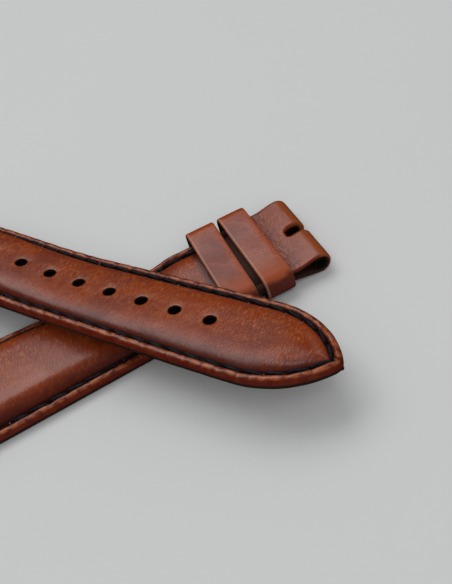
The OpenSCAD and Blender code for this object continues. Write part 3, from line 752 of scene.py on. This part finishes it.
def bandPath(offset, share_):          # a point and its outward way on the loop, by share of its length
    k = keepers
    w, top, r = k["half"] - offset, k["height"] - offset, k["corner"] - offset
    low = offset
    flatY, flatZ, bend = 2 * (w - r), top - low - 2 * r, math.pi / 2 * r
    total = 2 * flatY + 2 * flatZ + 4 * bend
    s = share_ * total
    legs = [(flatY, "flat"), (bend, "bend"), (flatZ, "flat"), (bend, "bend")] * 2
    at = Vector((-(w - r), top, 0))
    heading = 0.0
    for length, kind in legs:
        go = Vector((math.cos(heading), -math.sin(heading), 0))
        out = Vector((math.sin(heading), math.cos(heading), 0))
        if s <= length or length == legs[-1][0] and s <= length + 1e-6:
            if kind == "flat":
                return at + go * s, out
            turned = s / r
            centre = at - out * r
            newOut = Vector((math.sin(heading + turned), math.cos(heading + turned), 0))
            return centre + newOut * r, newOut
        s -= length
        if kind == "flat":
            at = at + go * length
        else:
            centre = at - out * r
            heading += math.pi / 2
            at = centre + Vector((math.sin(heading), math.cos(heading), 0)) * r
    return at, out


def makeBand(name, spec, offset, thick, trim, seed):
    around, across = keepers["around"], keepers["across"]
    bpy.ops.object.select_all(action="DESELECT")
    bpy.ops.mesh.primitive_torus_add(major_segments=around, minor_segments=across,
                                     major_radius=1, minor_radius=0.25)
    obj = bpy.context.object
    obj.name = name
    mesh = obj.data
    co = np.array([v.co[:] for v in mesh.vertices])
    major = np.arctan2(co[:, 1], co[:, 0]) / math.tau % 1
    minor = np.arctan2(co[:, 2], np.hypot(co[:, 0], co[:, 1]) - 1) / math.tau % 1
    width = spec["width"] - 2 * trim
    table = sectionTable(width, thick, min(keepers["edge"], thick * 0.46), across)
    mesh.attributes.new("bandPlace", "FLOAT_VECTOR", "POINT")
    points, places = [], []
    for m, n in zip(major, minor):
        path, out = bandPath(offset + thick / 2, float(m))
        side, deep = table[int(round(n * across)) % across]
        lift = keepers["farLift"] * float(ease((path.x - 1) / 7)) * max(0, out.y)
        if not trim and deep > 0:
            lift += keepers["round"] * math.cos(side / width * math.pi) * max(0, out.y)
            lift += keepers["uneven"] * float(ripple(path.x, side, 5, seed))
        p = path + out * (deep + lift)
        x = -(spec["from"] + spec["width"] / 2) + side + spec["skew"] * path.x
        points.append((x, p.x + keepers["side"], p.y))
        places.append((path.x, side / width, out.y + (2 if deep > 0 else 0)))
    mesh.vertices.foreach_set("co", toFrame(points).ravel())
    mesh.attributes["bandPlace"].data.foreach_set("vector", np.array(places, np.float32).ravel())
    selectOnly(obj)
    bpy.ops.object.mode_set(mode="EDIT")
    bpy.ops.mesh.select_all(action="SELECT")
    bpy.ops.mesh.normals_make_consistent(inside=False)
    bpy.ops.object.mode_set(mode="OBJECT")
    bpy.ops.object.shade_smooth()
    return obj


def sectionTable(width, thick, edge, count):     # (across, outward) of each point round the slab's section
    corner = 5
    ring = []
    for sx, sz, start in ((1, 1, 0), (-1, 1, 90), (-1, -1, 180), (1, -1, 270)):
        for k in range(corner):
            t = math.radians(start + 90 * k / (corner - 1))
            side, deep = sx * (width / 2 - edge), sz * (thick / 2 - edge)
            ring.append((side + edge * math.cos(t), deep + edge * math.sin(t)))
    flats = (count - 4 * corner) // 2
    out = ring[:corner] + spread(ring[corner - 1], ring[corner], flats) + ring[corner:3 * corner]
    out += spread(ring[3 * corner - 1], ring[3 * corner], flats) + ring[3 * corner:]
    return out


def spread(a, b, count):
    steps = [(k + 1) / (count + 1) for k in range(count)]
    return [(mix(a[0], b[0], t), mix(a[1], b[1], t)) for t in steps]


bands = []
for name, key, body, node in (("fixedBand", "fixed", "short_piece", "fixed_keeper"),
                              ("freeBand", "free", "sliding_keeper", "free_keeper")):
    inset = keepers["thick"] + keepers["gap"]
    outerBand = makeBand(name, keepers[key], 0.0, keepers["thick"], 0.0, 3)
    innerBand = makeBand(name + "Lining", keepers[key], inset, keepers["liningThick"], 0.2, 4)
    for obj, cad, slotName in ((outerBand, node, "keeper_leather"),
                               (innerBand, node + "_lining", "keeper_inside")):
        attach(obj, body)
        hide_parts(cad)
    bands.append((outerBand, innerBand))
print("keepers made")

# Stitches: one is modelled, and each copy is laid between two needle holes
thread = {"length": 3.62, "sides": 10, "cuts": 9, "slant": 0.24}


def makeStitch(radius, sink):
    bpy.ops.object.select_all(action="DESELECT")
    bpy.ops.mesh.primitive_cylinder_add(vertices=thread["sides"], radius=radius, depth=thread["length"],
                                        rotation=(0, math.pi / 2, 0))
    obj = bpy.context.object
    bpy.ops.object.transform_apply(location=False, rotation=True, scale=False)
    bpy.ops.object.mode_set(mode="EDIT")
    for k in range(1, thread["cuts"] + 1):
        bpy.ops.mesh.select_all(action="SELECT")
        x = thread["length"] * (k / (thread["cuts"] + 1) - 0.5)
        bpy.ops.mesh.bisect(plane_co=(x, 0, 0), plane_no=(1, 0, 0))
    bpy.ops.object.mode_set(mode="OBJECT")
    for v in obj.data.vertices:
        t = v.co.x / thread["length"] * 2
        full = (1 - abs(t) ** 3.2) ** 0.55 if abs(t) < 0.999 else 0.0
        thin = 0.58 + 0.42 * full
        around = math.atan2(v.co.z, v.co.y)
        ply = 1 + 0.13 * math.cos(2 * (around - t * 2.6))
        y, z = v.co.y * thin * ply, v.co.z * thin * ply * 0.9
        v.co.y = y - thread["slant"] * t
        v.co.z = z - sink * (1 - full) + 0.02
    return obj


def laySeam(name, stitch, needles, ups):
    copies = []
    for (a, b), up in zip(needles, ups):
        go = (b - a).normalized()
        out = (up - go * up.dot(go)).normalized()
        across = out.cross(go)
        copy = bpy.data.objects.new(name, stitch.data.copy())
        bpy.context.scene.collection.objects.link(copy)
        copy.matrix_world = Matrix.Translation((a + b) / 2) @ Matrix((go, across, out)).transposed().to_4x4()
        copies.append(copy)
    selectOnly(*copies)
    bpy.ops.object.join()
    seam = bpy.context.object
    bpy.ops.object.transform_apply(location=True, rotation=True, scale=True)
    seam.name = name
    seam.data.transform(Matrix.Translation((0, 0, -barHeight)))
    seam.data.transform(Matrix.Scale(mm, 4))
    bpy.ops.object.shade_smooth()
    return seam


def longSeamPoint(w, side, h):
    if w < seamArc:
        t = seamTurn - w / seamR
        return longPoints(longPiece["pointLen"] - seamR * math.sin(t), side * (seamR * math.cos(t) - tipC), h)
    a = longPiece["pointLen"] + w - seamArc
    return longPoints(a, side * (longHalf(a) - section["seamIn"]), h)


def shortSeamPoint(w, side, h):
    x = shortPiece["seamFrom"] + w
    return shortPoints(np.asarray(x, float), side * (shortHalf(x) - section["seamIn"]), h)


def seamRun(place, start, count, side, h):
    pitch = section["stitchPitch"]
    at = [Vector(place(start + k * pitch, side, h)) for k in range(count + 1)]
    middles = [start + (k + 0.5) * pitch for k in range(count)]
    over = [Vector(place(w, side, h + 1)) - Vector(place(w, side, h)) for w in middles]
    return list(zip(at[:-1], at[1:])), over


def makeSeams(name, place, start, count, body, node, h, radius, sink, flip):
    stitch = makeStitch(radius, sink)
    needles, ups = [], []
    for side in (1, -1):
        pairs, over = seamRun(place, start, count, side, h)
        if side < 0:
            pairs = [(b, a) for a, b in pairs]
        needles += pairs
        ups += [-v if flip else v for v in over]
    seam = laySeam(name, stitch, needles, ups)
    bpy.data.objects.remove(stitch)
    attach(seam, body)
    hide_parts(node)
    return seam


pitch = section["stitchPitch"]
longCount = int((seamArc + longPiece["fold"] - 1 - longPiece["pointLen"] - longPiece["seamStart"]) // pitch)
shortCount = int((shortPiece["fold"] - 1 - shortPiece["seamFrom"]) // pitch)
seamLook = {       # height over the underside, thread radius, how far the ends sink, laid upside down
    "top": (2.06, 0.30, 0.34, False),
    "under": (0.19, 0.16, 0.2, True),
}
longRun = (longSeamPoint, longPiece["seamStart"], longCount, "long_piece")
shortRun = (shortSeamPoint, 0, shortCount, "short_piece")
seams = [
    makeSeams("longTopStitches", *longRun, "long_top_thread", *seamLook["top"]),
    makeSeams("longUnderStitches", *longRun, "long_under_thread", *seamLook["under"]),
    makeSeams("shortTopStitches", *shortRun, "short_top_thread", *seamLook["top"]),
    makeSeams("shortUnderStitches", *shortRun, "short_under_thread", *seamLook["under"]),
]
print("seams made")

# The table
tableSize = 2.4
bpy.ops.mesh.primitive_plane_add(size=tableSize, location=(0, 0, -barHeight * mm))
floor = bpy.context.object
floor.name = "paleTable"
floor.visible_glossy = False

scene = bpy.context.scene
scene.view_settings.view_transform = "Standard"


# Materials: textures are worked out in millimetres, colours are linear
def plug(tree, socket, value):
    if isinstance(value, bpy.types.NodeSocket):
        tree.links.new(value, socket)
    else:
        socket.default_value = (*value, 1) if socket.type == "RGBA" else value


def addNode(tree, kind, values, **settings):
    node = tree.nodes.new(kind)
    for key, value in settings.items():
        setattr(node, key, value)
    for socket, value in values.items():
        plug(tree, node.inputs[socket], value)
    return node


def calc(tree, operation, *values):
    node = tree.nodes.new("ShaderNodeMath")
    node.operation = operation
    for k, value in enumerate(values):
        plug(tree, node.inputs[k], value)
    return node.outputs[0]


def times(tree, a, b):
    return calc(tree, "MULTIPLY", a, b)


def plus(tree, a, b):
    return calc(tree, "ADD", a, b)


def layered(tree, colour, *coats):      # lays colours over each other, each through its mask
    for mask, over in coats:
        colour = blendColour(tree, mask, colour, over)
    return colour


def between(tree, value, start, end, low=0.0, high=1.0):     # goes smoothly from low to high
    values = {"Value": value, "From Min": start, "From Max": end, "To Min": low, "To Max": high}
    return addNode(tree, "ShaderNodeMapRange", values, interpolation_type="SMOOTHSTEP").outputs[0]


def blendColour(tree, factor, a, b):
    return addNode(tree, "ShaderNodeMix", {0: factor, 6: a, 7: b}, data_type="RGBA").outputs[2]


def scaled(tree, place, factors):
    return addNode(tree, "ShaderNodeVectorMath", {0: place, 1: factors}, operation="MULTIPLY").outputs[0]


def cloud(tree, place, size, detail=2.0, distortion=0.0):
    values = {"Vector": place, "Scale": 1 / size, "Detail": detail, "Distortion": distortion}
    return addNode(tree, "ShaderNodeTexNoise", values).outputs[0]


def separate(tree, vector):
    return addNode(tree, "ShaderNodeSeparateXYZ", {0: vector}).outputs


def join(tree, x, y, z):
    return addNode(tree, "ShaderNodeCombineXYZ", {0: x, 1: y, 2: z}).outputs[0]


def attribute(tree, name):
    return addNode(tree, "ShaderNodeAttribute", {}, attribute_name=name).outputs["Vector"]


def objectPlace(tree):           # millimetres in the frame
    return scaled(tree, addNode(tree, "ShaderNodeTexCoord", {}).outputs["Object"], (1000, 1000, 1000))


def makeGroup(name, inputs, outputs, build):
    tree = bpy.data.node_groups.new(name, "ShaderNodeTree")
    for socket, kind in inputs.items():
        tree.interface.new_socket(name=socket, in_out="INPUT", socket_type=kind)
    for socket in outputs:
        tree.interface.new_socket(name=socket, in_out="OUTPUT", socket_type="NodeSocketFloat")
    start, end = tree.nodes.new("NodeGroupInput"), tree.nodes.new("NodeGroupOutput")
    for socket, value in build(tree, start.outputs).items():
        tree.links.new(value, end.inputs[socket])
    return tree


def use(tree, group, **values):
    return addNode(tree, "ShaderNodeGroup", values, node_tree=group).outputs


def buildMottle(tree, given):
    place = given["Place"]
    broad = cloud(tree, place, 7.0, 3.0, 0.4)
    small = cloud(tree, place, 1.3, 3.0, 0.6)
    return {"Clouds": between(tree, broad, 0.36, 0.66), "Spots": between(tree, small, 0.38, 0.64)}


def buildFibres(tree, given):    # short fine fibres that run across the strap, in patches
    x, y, z = separate(tree, given["Place"])
    wander = times(tree, calc(tree, "SUBTRACT", cloud(tree, given["Place"], 4.0), 0.5), 0.3)
    x = plus(tree, x, wander)
    fine = cloud(tree, join(tree, times(tree, x, 7.0), times(tree, y, 0.36), z), 1.0, 1.0)
    wide = cloud(tree, join(tree, times(tree, x, 2.2), times(tree, y, 0.3), z), 1.0, 1.0)
    patches = between(tree, cloud(tree, given["Place"], 5.0, 2.0), 0.28, 0.52)
    lines = times(tree, between(tree, fine, 0.50, 0.70), patches)
    return {"Fibres": lines, "Streaks": between(tree, wide, 0.35, 0.65), "Grain": fine}


def buildPores(tree, given):
    values = {"Vector": given["Place"], "Scale": 2.6}
    cells = addNode(tree, "ShaderNodeTexVoronoi", values, feature="SMOOTH_F1").outputs["Distance"]
    fine = cloud(tree, given["Place"], 0.22, 2.0)
    return {"Height": plus(tree, times(tree, cells, 0.6), times(tree, fine, 0.5))}


def buildEdge(tree, given):      # where leather is worn, folded, sewn and punched, with painted shade at the seams
    _, across, inward = separate(tree, given["Place"])
    pit, fromHole, top = separate(tree, given["Marks"])
    uneven = times(tree, calc(tree, "SUBTRACT", given["Spots"], 0.5), 0.5)
    inner = plus(tree, inward, uneven)
    rim = times(tree, between(tree, inner, 1.75, 1.15), top)
    wall = between(tree, inward, 0.34, 0.1)
    # bank: burnish inside each seam, plus painted shade that is wider and deeper on the near side
    nearSide = between(tree, across, 1.5, -3.0)
    nearBank = times(tree, times(tree, between(tree, inner, 5.0, 1.9), nearSide), 0.85)
    farBank = times(tree, between(tree, inner, 2.7, 1.8), 0.3)
    bank = times(tree, between(tree, inner, 1.0, 1.5), calc(tree, "MAXIMUM", nearBank, farBank))
    # furrow: dye in the seam's groove and painted shadow by the thread; pit: painted shade in the needle
    # holes
    fromSeam = calc(tree, "ABSOLUTE", calc(tree, "SUBTRACT", inward, section["seamIn"] + 0.08))
    furrow = between(tree, fromSeam, 0.62, 0.3)
    halo = times(tree, between(tree, fromHole, 2.5, 1.4), given["Spots"])
    return {"Rim": rim, "Wall": wall, "Bank": bank, "Furrow": furrow, "Pit": between(tree, pit, 0.2, 0.75),
            "Halo": halo, "Hole": between(tree, fromHole, 1.3, 1.12), "Under": between(tree, top, 0.75, 0.35)}


def buildCreases(tree, given):   # fine folds that run across the strap where the leather bends
    x, y, _ = separate(tree, given["Place"])
    wander = times(tree, cloud(tree, given["Place"], 2.5, 2.0), 2.4)
    place = join(tree, plus(tree, times(tree, x, 1.7), wander), times(tree, y, 0.3), 0.0)
    values = {"Vector": place, "Scale": 1.0}
    gap = addNode(tree, "ShaderNodeTexVoronoi", values, feature="DISTANCE_TO_EDGE").outputs["Distance"]
    return {"Creases": times(tree, between(tree, gap, 0.16, 0.0), given["Amount"])}


def buildHoleDark(tree, given):       # darkens round the long piece's tongue holes
    p = longPiece
    x, y, _ = separate(tree, given["Place"])
    angle = math.radians(p["angle"])
    dx = calc(tree, "SUBTRACT", x, p["crossAt"][0])
    dy = calc(tree, "SUBTRACT", y, p["crossAt"][1])
    a = plus(tree, times(tree, dx, -math.cos(angle)), times(tree, dy, math.sin(angle)))
    b = plus(tree, times(tree, dx, math.sin(angle)), times(tree, dy, math.cos(angle)))
    half, last = p["holePitch"] / 2, p["holePitch"] * (p["holeCount"] - 1)
    off = calc(tree, "WRAP", a, half, -half)
    away = calc(tree, "SQRT", plus(tree, times(tree, off, off), times(tree, b, b)))
    held = between(tree, a, last + 3.0, last + 2.0)
    return {"HoleDark": times(tree, between(tree, away, 2.4, 1.9), held)}


def buildWeave(tree, given):
    x, y, z = separate(tree, given["Place"])
    first = calc(tree, "SINE", times(tree, plus(tree, x, z), 14.0))
    second = calc(tree, "SINE", times(tree, y, 14.0))
    woven = plus(tree, times(tree, times(tree, first, second), 0.35), 0.5)
    return {"Threads": plus(tree, woven, times(tree, cloud(tree, given["Place"], 0.6), 0.2))}


vectorIn, valueIn = "NodeSocketVector", "NodeSocketFloat"
groups = {
    "mottle": makeGroup("hideMottle", {"Place": vectorIn}, ["Clouds", "Spots"], buildMottle),
    "fibres": makeGroup("brushedFibres", {"Place": vectorIn}, ["Fibres", "Streaks", "Grain"], buildFibres),
    "pores": makeGroup("finePores", {"Place": vectorIn}, ["Height"], buildPores),
    "edge": makeGroup("edgeWearAndShade", {"Place": vectorIn, "Marks": vectorIn, "Spots": valueIn},
                      ["Rim", "Wall", "Bank", "Furrow", "Pit", "Halo", "Hole", "Under"], buildEdge),
    "creases": makeGroup("bendCreases", {"Place": vectorIn, "Amount": valueIn}, ["Creases"], buildCreases),
    "holeDark": makeGroup("holeDarkening", {"Place": vectorIn}, ["HoleDark"], buildHoleDark),
    "weave": makeGroup("tapeWeave", {"Place": vectorIn}, ["Threads"], buildWeave),
}


def newMaterial(name, **fixed):
    material = bpy.data.materials.new(name)
    material.use_nodes = True
    shader = material.node_tree.nodes["Principled BSDF"]
    for socket, value in fixed.items():
        shader.inputs[socket.replace("_", " ")].default_value = value
    return material, material.node_tree, shader


def surface(tree, shader, colour, rough, height, depth):     # depth is the relief in millimetres
    bumpNode = addNode(tree, "ShaderNodeBump", {"Height": height, "Distance": depth * mm, "Strength": 1.0})
    plug(tree, shader.inputs["Base Color"], colour)
    plug(tree, shader.inputs["Roughness"], rough)
    plug(tree, shader.inputs["Normal"], bumpNode.outputs[0])


# bank, pit, crease and under are also laid as painted shade, and the pale pit colour as painted glints
hide = {
    "base": (0.245, 0.038, 0.0065), "red": (0.155, 0.019, 0.005), "fibre": (0.44, 0.12, 0.026),
    "rimOrange": (0.34, 0.085, 0.02), "rimRed": (0.10, 0.010, 0.003), "bank": (0.06, 0.0045, 0.0015),
    "wall": (0.11, 0.007, 0.0014), "under": (0.03, 0.011, 0.007), "holeDark": (0.009, 0.004, 0.003),
    "halo": (0.30, 0.088, 0.028), "pit": (0.012, 0.004, 0.003), "pitGlint": (0.42, 0.37, 0.33),
    "loopOrange": (0.27, 0.062, 0.012), "crease": (0.12, 0.018, 0.007),
}


def strapLeather(name, isShort):
    material, tree, shader = newMaterial(name, Specular_IOR_Level=0.6)
    place, marks, space = attribute(tree, "strapPlace"), attribute(tree, "strapMarks"), objectPlace(tree)
    x, y, inward = separate(tree, place)
    mottle, pores = use(tree, groups["mottle"], Place=space), use(tree, groups["pores"], Place=space)
    fibres = use(tree, groups["fibres"], Place=place)
    edge = use(tree, groups["edge"], Place=place, Marks=marks, Spots=mottle["Spots"])
    # the rolled watch end has no seam, and its top leather goes on round the bar
    fold = (shortPiece if isShort else longPiece)["fold"]
    flatPart = between(tree, x, fold + 1.4, fold - 0.6)
    sewn = times(tree, flatPart, between(tree, x, 6.0, 8.5)) if isShort else flatPart
    under = times(tree, edge["Under"], flatPart)
    body = times(tree, between(tree, inward, 2.0, 3.4), calc(tree, "SUBTRACT", 1.0, under))
    # the hide's fibres, painted paler on the far side: painted light where the far half takes no sheen
    brushed = times(tree, body, between(tree, y, -7.0, 2.0, 0.3, 0.75))
    rimColour = blendColour(tree, mottle["Spots"], hide["rimRed"], hide["rimOrange"])
    colour = layered(tree, hide["base"],
                     (times(tree, mottle["Clouds"], 0.75), hide["red"]),
                     (times(tree, fibres["Streaks"], 0.22), hide["red"]),
                     (times(tree, fibres["Fibres"], brushed), hide["fibre"]),
                     (times(tree, edge["Halo"], 0.6), hide["halo"]),
                     # painted shade on the seam's bank, heaviest on the near side
                     (times(tree, edge["Bank"], sewn), hide["bank"]),
                     (times(tree, times(tree, edge["Rim"], 0.85), sewn), rimColour),
                     # dye and painted shadow in the furrow
                     (times(tree, times(tree, edge["Furrow"], 0.85), sewn), hide["pit"]),
                     (times(tree, edge["Wall"], 0.85), hide["wall"]))
    rough = plus(tree, times(tree, mottle["Clouds"], 0.08), times(tree, fibres["Grain"], 0.12))
    grain = times(tree, times(tree, fibres["Grain"], body), 0.9)
    height = plus(tree, times(tree, pores["Height"], 0.45), grain)
    if isShort:
        # orange burnish round the bar, creases behind it, and painted shade there and at the keepers
        burnish = between(tree, plus(tree, x, times(tree, mottle["Spots"], 0.8)), 1.6, -0.4)
        # painted shade across the valley behind the bar and in its creases, which also get bumps
        bend = times(tree, between(tree, x, 2.4, 4.0), between(tree, x, 7.5, 5.2))
        creasesAndShade = use(tree, groups["creases"], Place=place, Amount=bend)["Creases"]
        # painted shade in the gap between the keepers and in a strip next to the free keeper
        paintedGapShade = times(tree, between(tree, x, 9.8, 11.0), between(tree, x, 14.0, 12.6))
        paintedShadeNextToKeeper = times(tree, between(tree, x, 17.0, 18.0), between(tree, x, 19.6, 18.5))
        colour = layered(tree, colour,
                         (times(tree, burnish, 0.85), hide["loopOrange"]),
                         # painted shade in the valley and in its creases
                         (times(tree, bend, 0.3), hide["crease"]),
                         (times(tree, creasesAndShade, 0.22), hide["crease"]),
                         # painted shade next to the free keeper and in the keepers' gap
                         (times(tree, paintedShadeNextToKeeper, 0.85), hide["bank"]),
                         (times(tree, paintedGapShade, 0.95), hide["under"]))
        rough = plus(tree, rough, times(tree, paintedGapShade, 0.6))
        height = calc(tree, "SUBTRACT", height, times(tree, creasesAndShade, 0.55))
    # here and there a painted glint, a pale highlight, shows in a needle pit
    paintedPitGlint = times(tree, between(tree, cloud(tree, space, 4.0, 0.0), 0.60, 0.64), edge["Pit"])
    paintedPitGlint = times(tree, between(tree, cloud(tree, space, 0.4, 0.0), 0.52, 0.6), paintedPitGlint)
    # painted shade in every needle pit
    colour = layered(tree, colour, (edge["Pit"], hide["pit"]), (paintedPitGlint, hide["pitGlint"]),
                     (under, hide["under"]), (edge["Hole"], hide["holeDark"]))
    rough = plus(tree, rough, plus(tree, times(tree, under, 0.25), 0.22))
    surface(tree, shader, colour, rough, height, 0.045)
    return material


# deep paints shade on the keepers' near side, and the pale left-edge colour is a painted highlight
band = {
    "base": (0.235, 0.038, 0.009), "red": (0.16, 0.021, 0.006), "orange": (0.35, 0.058, 0.005),
    "deep": (0.10, 0.009, 0.002), "inside": (0.03, 0.012, 0.008), "edge": (0.30, 0.12, 0.065),
    "paintedLeftEdgeHighlight": (0.42, 0.19, 0.12),
}


def bandLeather():
    material, tree, shader = newMaterial("keeperLeather", Specular_IOR_Level=0.62)
    place, space = attribute(tree, "bandPlace"), objectPlace(tree)
    y, acrossBand, facing = separate(tree, place)
    mottle, pores = use(tree, groups["mottle"], Place=space), use(tree, groups["pores"], Place=space)
    brushed = join(tree, times(tree, acrossBand, 5.5), times(tree, y, 0.8), 0.0)
    fibres = use(tree, groups["fibres"], Place=brushed)
    uneven = times(tree, calc(tree, "SUBTRACT", cloud(tree, space, 2.2, 3.0), 0.5), 0.7)
    # worn orange at the right edge and both ends, painted shade on the near side, painted highlight on the
    # left edge
    rightEdge = between(tree, plus(tree, acrossBand, times(tree, uneven, 0.5)), 0.16, 0.56)
    nearEnd = between(tree, plus(tree, y, times(tree, uneven, 4.0)), -3.5, -9.5)
    farEnd = times(tree, between(tree, y, 6.5, 9.5), 0.7)
    worn = calc(tree, "MAXIMUM", rightEdge, calc(tree, "MAXIMUM", nearEnd, farEnd))
    # painted shade on the keeper's near side
    side = times(tree, between(tree, y, -6.0, -8.0), between(tree, plus(tree, facing, uneven), 2.93, 2.5))
    cut = between(tree, calc(tree, "ABSOLUTE", acrossBand), 0.465, 0.495)
    # a painted highlight: a pale line along the left edge only
    paintedLeftEdgeHighlight = times(tree, between(tree, acrossBand, -0.40, -0.44), between(tree, acrossBand, -0.485, -0.46))
    colour = layered(tree, band["base"],
                     (mottle["Clouds"], band["red"]),
                     (times(tree, fibres["Fibres"], 0.25), band["orange"]),
                     (times(tree, worn, 0.88), band["orange"]),
                     (times(tree, side, 0.9), band["deep"]),
                     (times(tree, cut, 0.6), band["edge"]),
                     (times(tree, paintedLeftEdgeHighlight, 0.6), band["paintedLeftEdgeHighlight"]),
                     (between(tree, facing, 1.6, 1.3), band["inside"]))
    grainy = plus(tree, times(tree, fibres["Grain"], 0.1), 0.22)
    rough = plus(tree, plus(tree, times(tree, mottle["Clouds"], 0.1), grainy), times(tree, nearEnd, 0.3))
    wrinkle = times(tree, cloud(tree, space, 1.1, 2.0, 0.8), plus(tree, times(tree, side, 3.0), 0.8))
    surface(tree, shader, colour, rough, plus(tree, times(tree, pores["Height"], 0.4), wrinkle), 0.04)
    return material


def napLeather(name, dark, light, holeDarkened):
    material, tree, shader = newMaterial(name)
    space = objectPlace(tree)
    mottle, pores = use(tree, groups["mottle"], Place=space), use(tree, groups["pores"], Place=space)
    nap = cloud(tree, space, 0.3, 3.0)
    colour = blendColour(tree, times(tree, plus(tree, mottle["Spots"], nap), 0.6), dark, light)
    if holeDarkened:
        colour = blendColour(tree, use(tree, groups["holeDark"], Place=space)["HoleDark"], colour, hide["holeDark"])
    rough = plus(tree, times(tree, nap, 0.3), 0.55)
    surface(tree, shader, colour, rough, plus(tree, pores["Height"], nap), 0.05)
    return material


wax = {"dark": (0.0018, 0.0022, 0.0045), "light": (0.010, 0.0125, 0.022), "worn": (0.024, 0.022, 0.024)}


def waxedThread():
    material, tree, shader = newMaterial("waxedThread", Specular_IOR_Level=0.2)
    space = objectPlace(tree)
    strands = cloud(tree, space, 0.14, 2.0, 0.5)
    worn = between(tree, cloud(tree, space, 0.9, 1.0), 0.48, 0.66)
    colour = blendColour(tree, between(tree, strands, 0.35, 0.7), wax["dark"], wax["light"])
    colour = blendColour(tree, times(tree, worn, 0.35), colour, wax["worn"])
    rough = plus(tree, times(tree, strands, 0.3), 0.4)
    surface(tree, shader, colour, rough, strands, 0.05)
    return material


def wovenTape(name, dark, light, holeDarkened):
    material, tree, shader = newMaterial(name, Specular_IOR_Level=0.15)
    space = objectPlace(tree)
    threads = use(tree, groups["weave"], Place=space)["Threads"]
    colour = blendColour(tree, threads, dark, light)
    if holeDarkened:
        colour = blendColour(tree, use(tree, groups["holeDark"], Place=space)["HoleDark"], colour, hide["holeDark"])
    surface(tree, shader, colour, plus(tree, times(tree, threads, 0.25), 0.5), threads, 0.06)
    return material


paper = {"dark": (0.595, 0.605, 0.60), "light": (0.625, 0.635, 0.632)}


def paleFloor():
    material, tree, shader = newMaterial("palePaper")
    space = objectPlace(tree)
    broad = cloud(tree, space, 60.0, 2.0)
    fine = cloud(tree, space, 1.2, 2.0)
    shade = plus(tree, times(tree, broad, 0.6), times(tree, fine, 0.4))
    colour = blendColour(tree, shade, paper["dark"], paper["light"])
    surface(tree, shader, colour, between(tree, fine, 0.3, 0.7, 0.62, 0.7), fine, 0.01)
    return material


def dress(material, *objs):
    for obj in objs:
        obj.data.materials.clear()
        obj.data.materials.append(material)


fleshDark, fleshLight = (0.02, 0.009, 0.006), (0.05, 0.024, 0.015)
liningDark, liningLight = (0.055, 0.026, 0.014), (0.11, 0.058, 0.034)
boardDark, boardLight = (0.20, 0.12, 0.065), (0.32, 0.21, 0.125)
tapeDark, tapeLight = (0.42, 0.38, 0.31), (0.6, 0.56, 0.48)
sleeveDark, sleeveLight = (0.002, 0.0024, 0.002), (0.009, 0.0105, 0.008)

dress(paleFloor(), floor)
dress(strapLeather("longStrapLeather", False), longTop)
dress(strapLeather("shortStrapLeather", True), shortTop)
dress(bandLeather(), *[outer for outer, inner in bands])
dress(napLeather("keeperFleshSide", fleshDark, fleshLight, False), *[inner for outer, inner in bands])
dress(napLeather("liningLeather", liningDark, liningLight, True), longLining)
dress(napLeather("shortLiningLeather", liningDark, liningLight, False), shortLining)
dress(waxedThread(), *seams)
dress(napLeather("fillerBoard", boardDark, boardLight, True), nodes["long_filler"], nodes["short_filler"])
dress(wovenTape("stayTape", tapeDark, tapeLight, True), nodes["long_stay"], nodes["short_stay"])
dress(wovenTape("sleeveLiner", sleeveDark, sleeveLight, False),
      nodes["buckle_sleeve"], nodes["short_lug_sleeve"], nodes["long_lug_sleeve"])
print("materials made")


# The leather's sheen shows only the window, and the front lamp and the room's light soften the shadows
lamps = {
    "window": {"place": (-0.10, 0.45, 0.76), "size": (0.85, 0.50), "power": 3.2, "sheen": True},
    "front": {"place": (0.0, -0.60, 0.66), "size": (0.80, 0.80), "power": 2.1, "sheen": False},
}
for name, lamp in lamps.items():
    bpy.ops.object.light_add(type="AREA", location=lamp["place"])
    light = bpy.context.object
    light.name = name
    light.data.shape = "RECTANGLE"
    light.data.size, light.data.size_y = lamp["size"]
    light.data.energy = lamp["power"]
    light.visible_glossy = lamp["sheen"]
    light.rotation_euler = (Vector((-0.03, 0, 0)) - Vector(lamp["place"])).to_track_quat("-Z", "Y").to_euler()

room = {"colour": (0.77, 0.775, 0.775, 1), "strength": 0.61}
world = bpy.data.worlds.new("room")
scene.world = world
world.use_nodes = True
background = world.node_tree.nodes["Background"]
background.inputs["Color"].default_value = room["colour"]
background.inputs["Strength"].default_value = room["strength"]
world.cycles_visibility.glossy = False
print("lamps made")
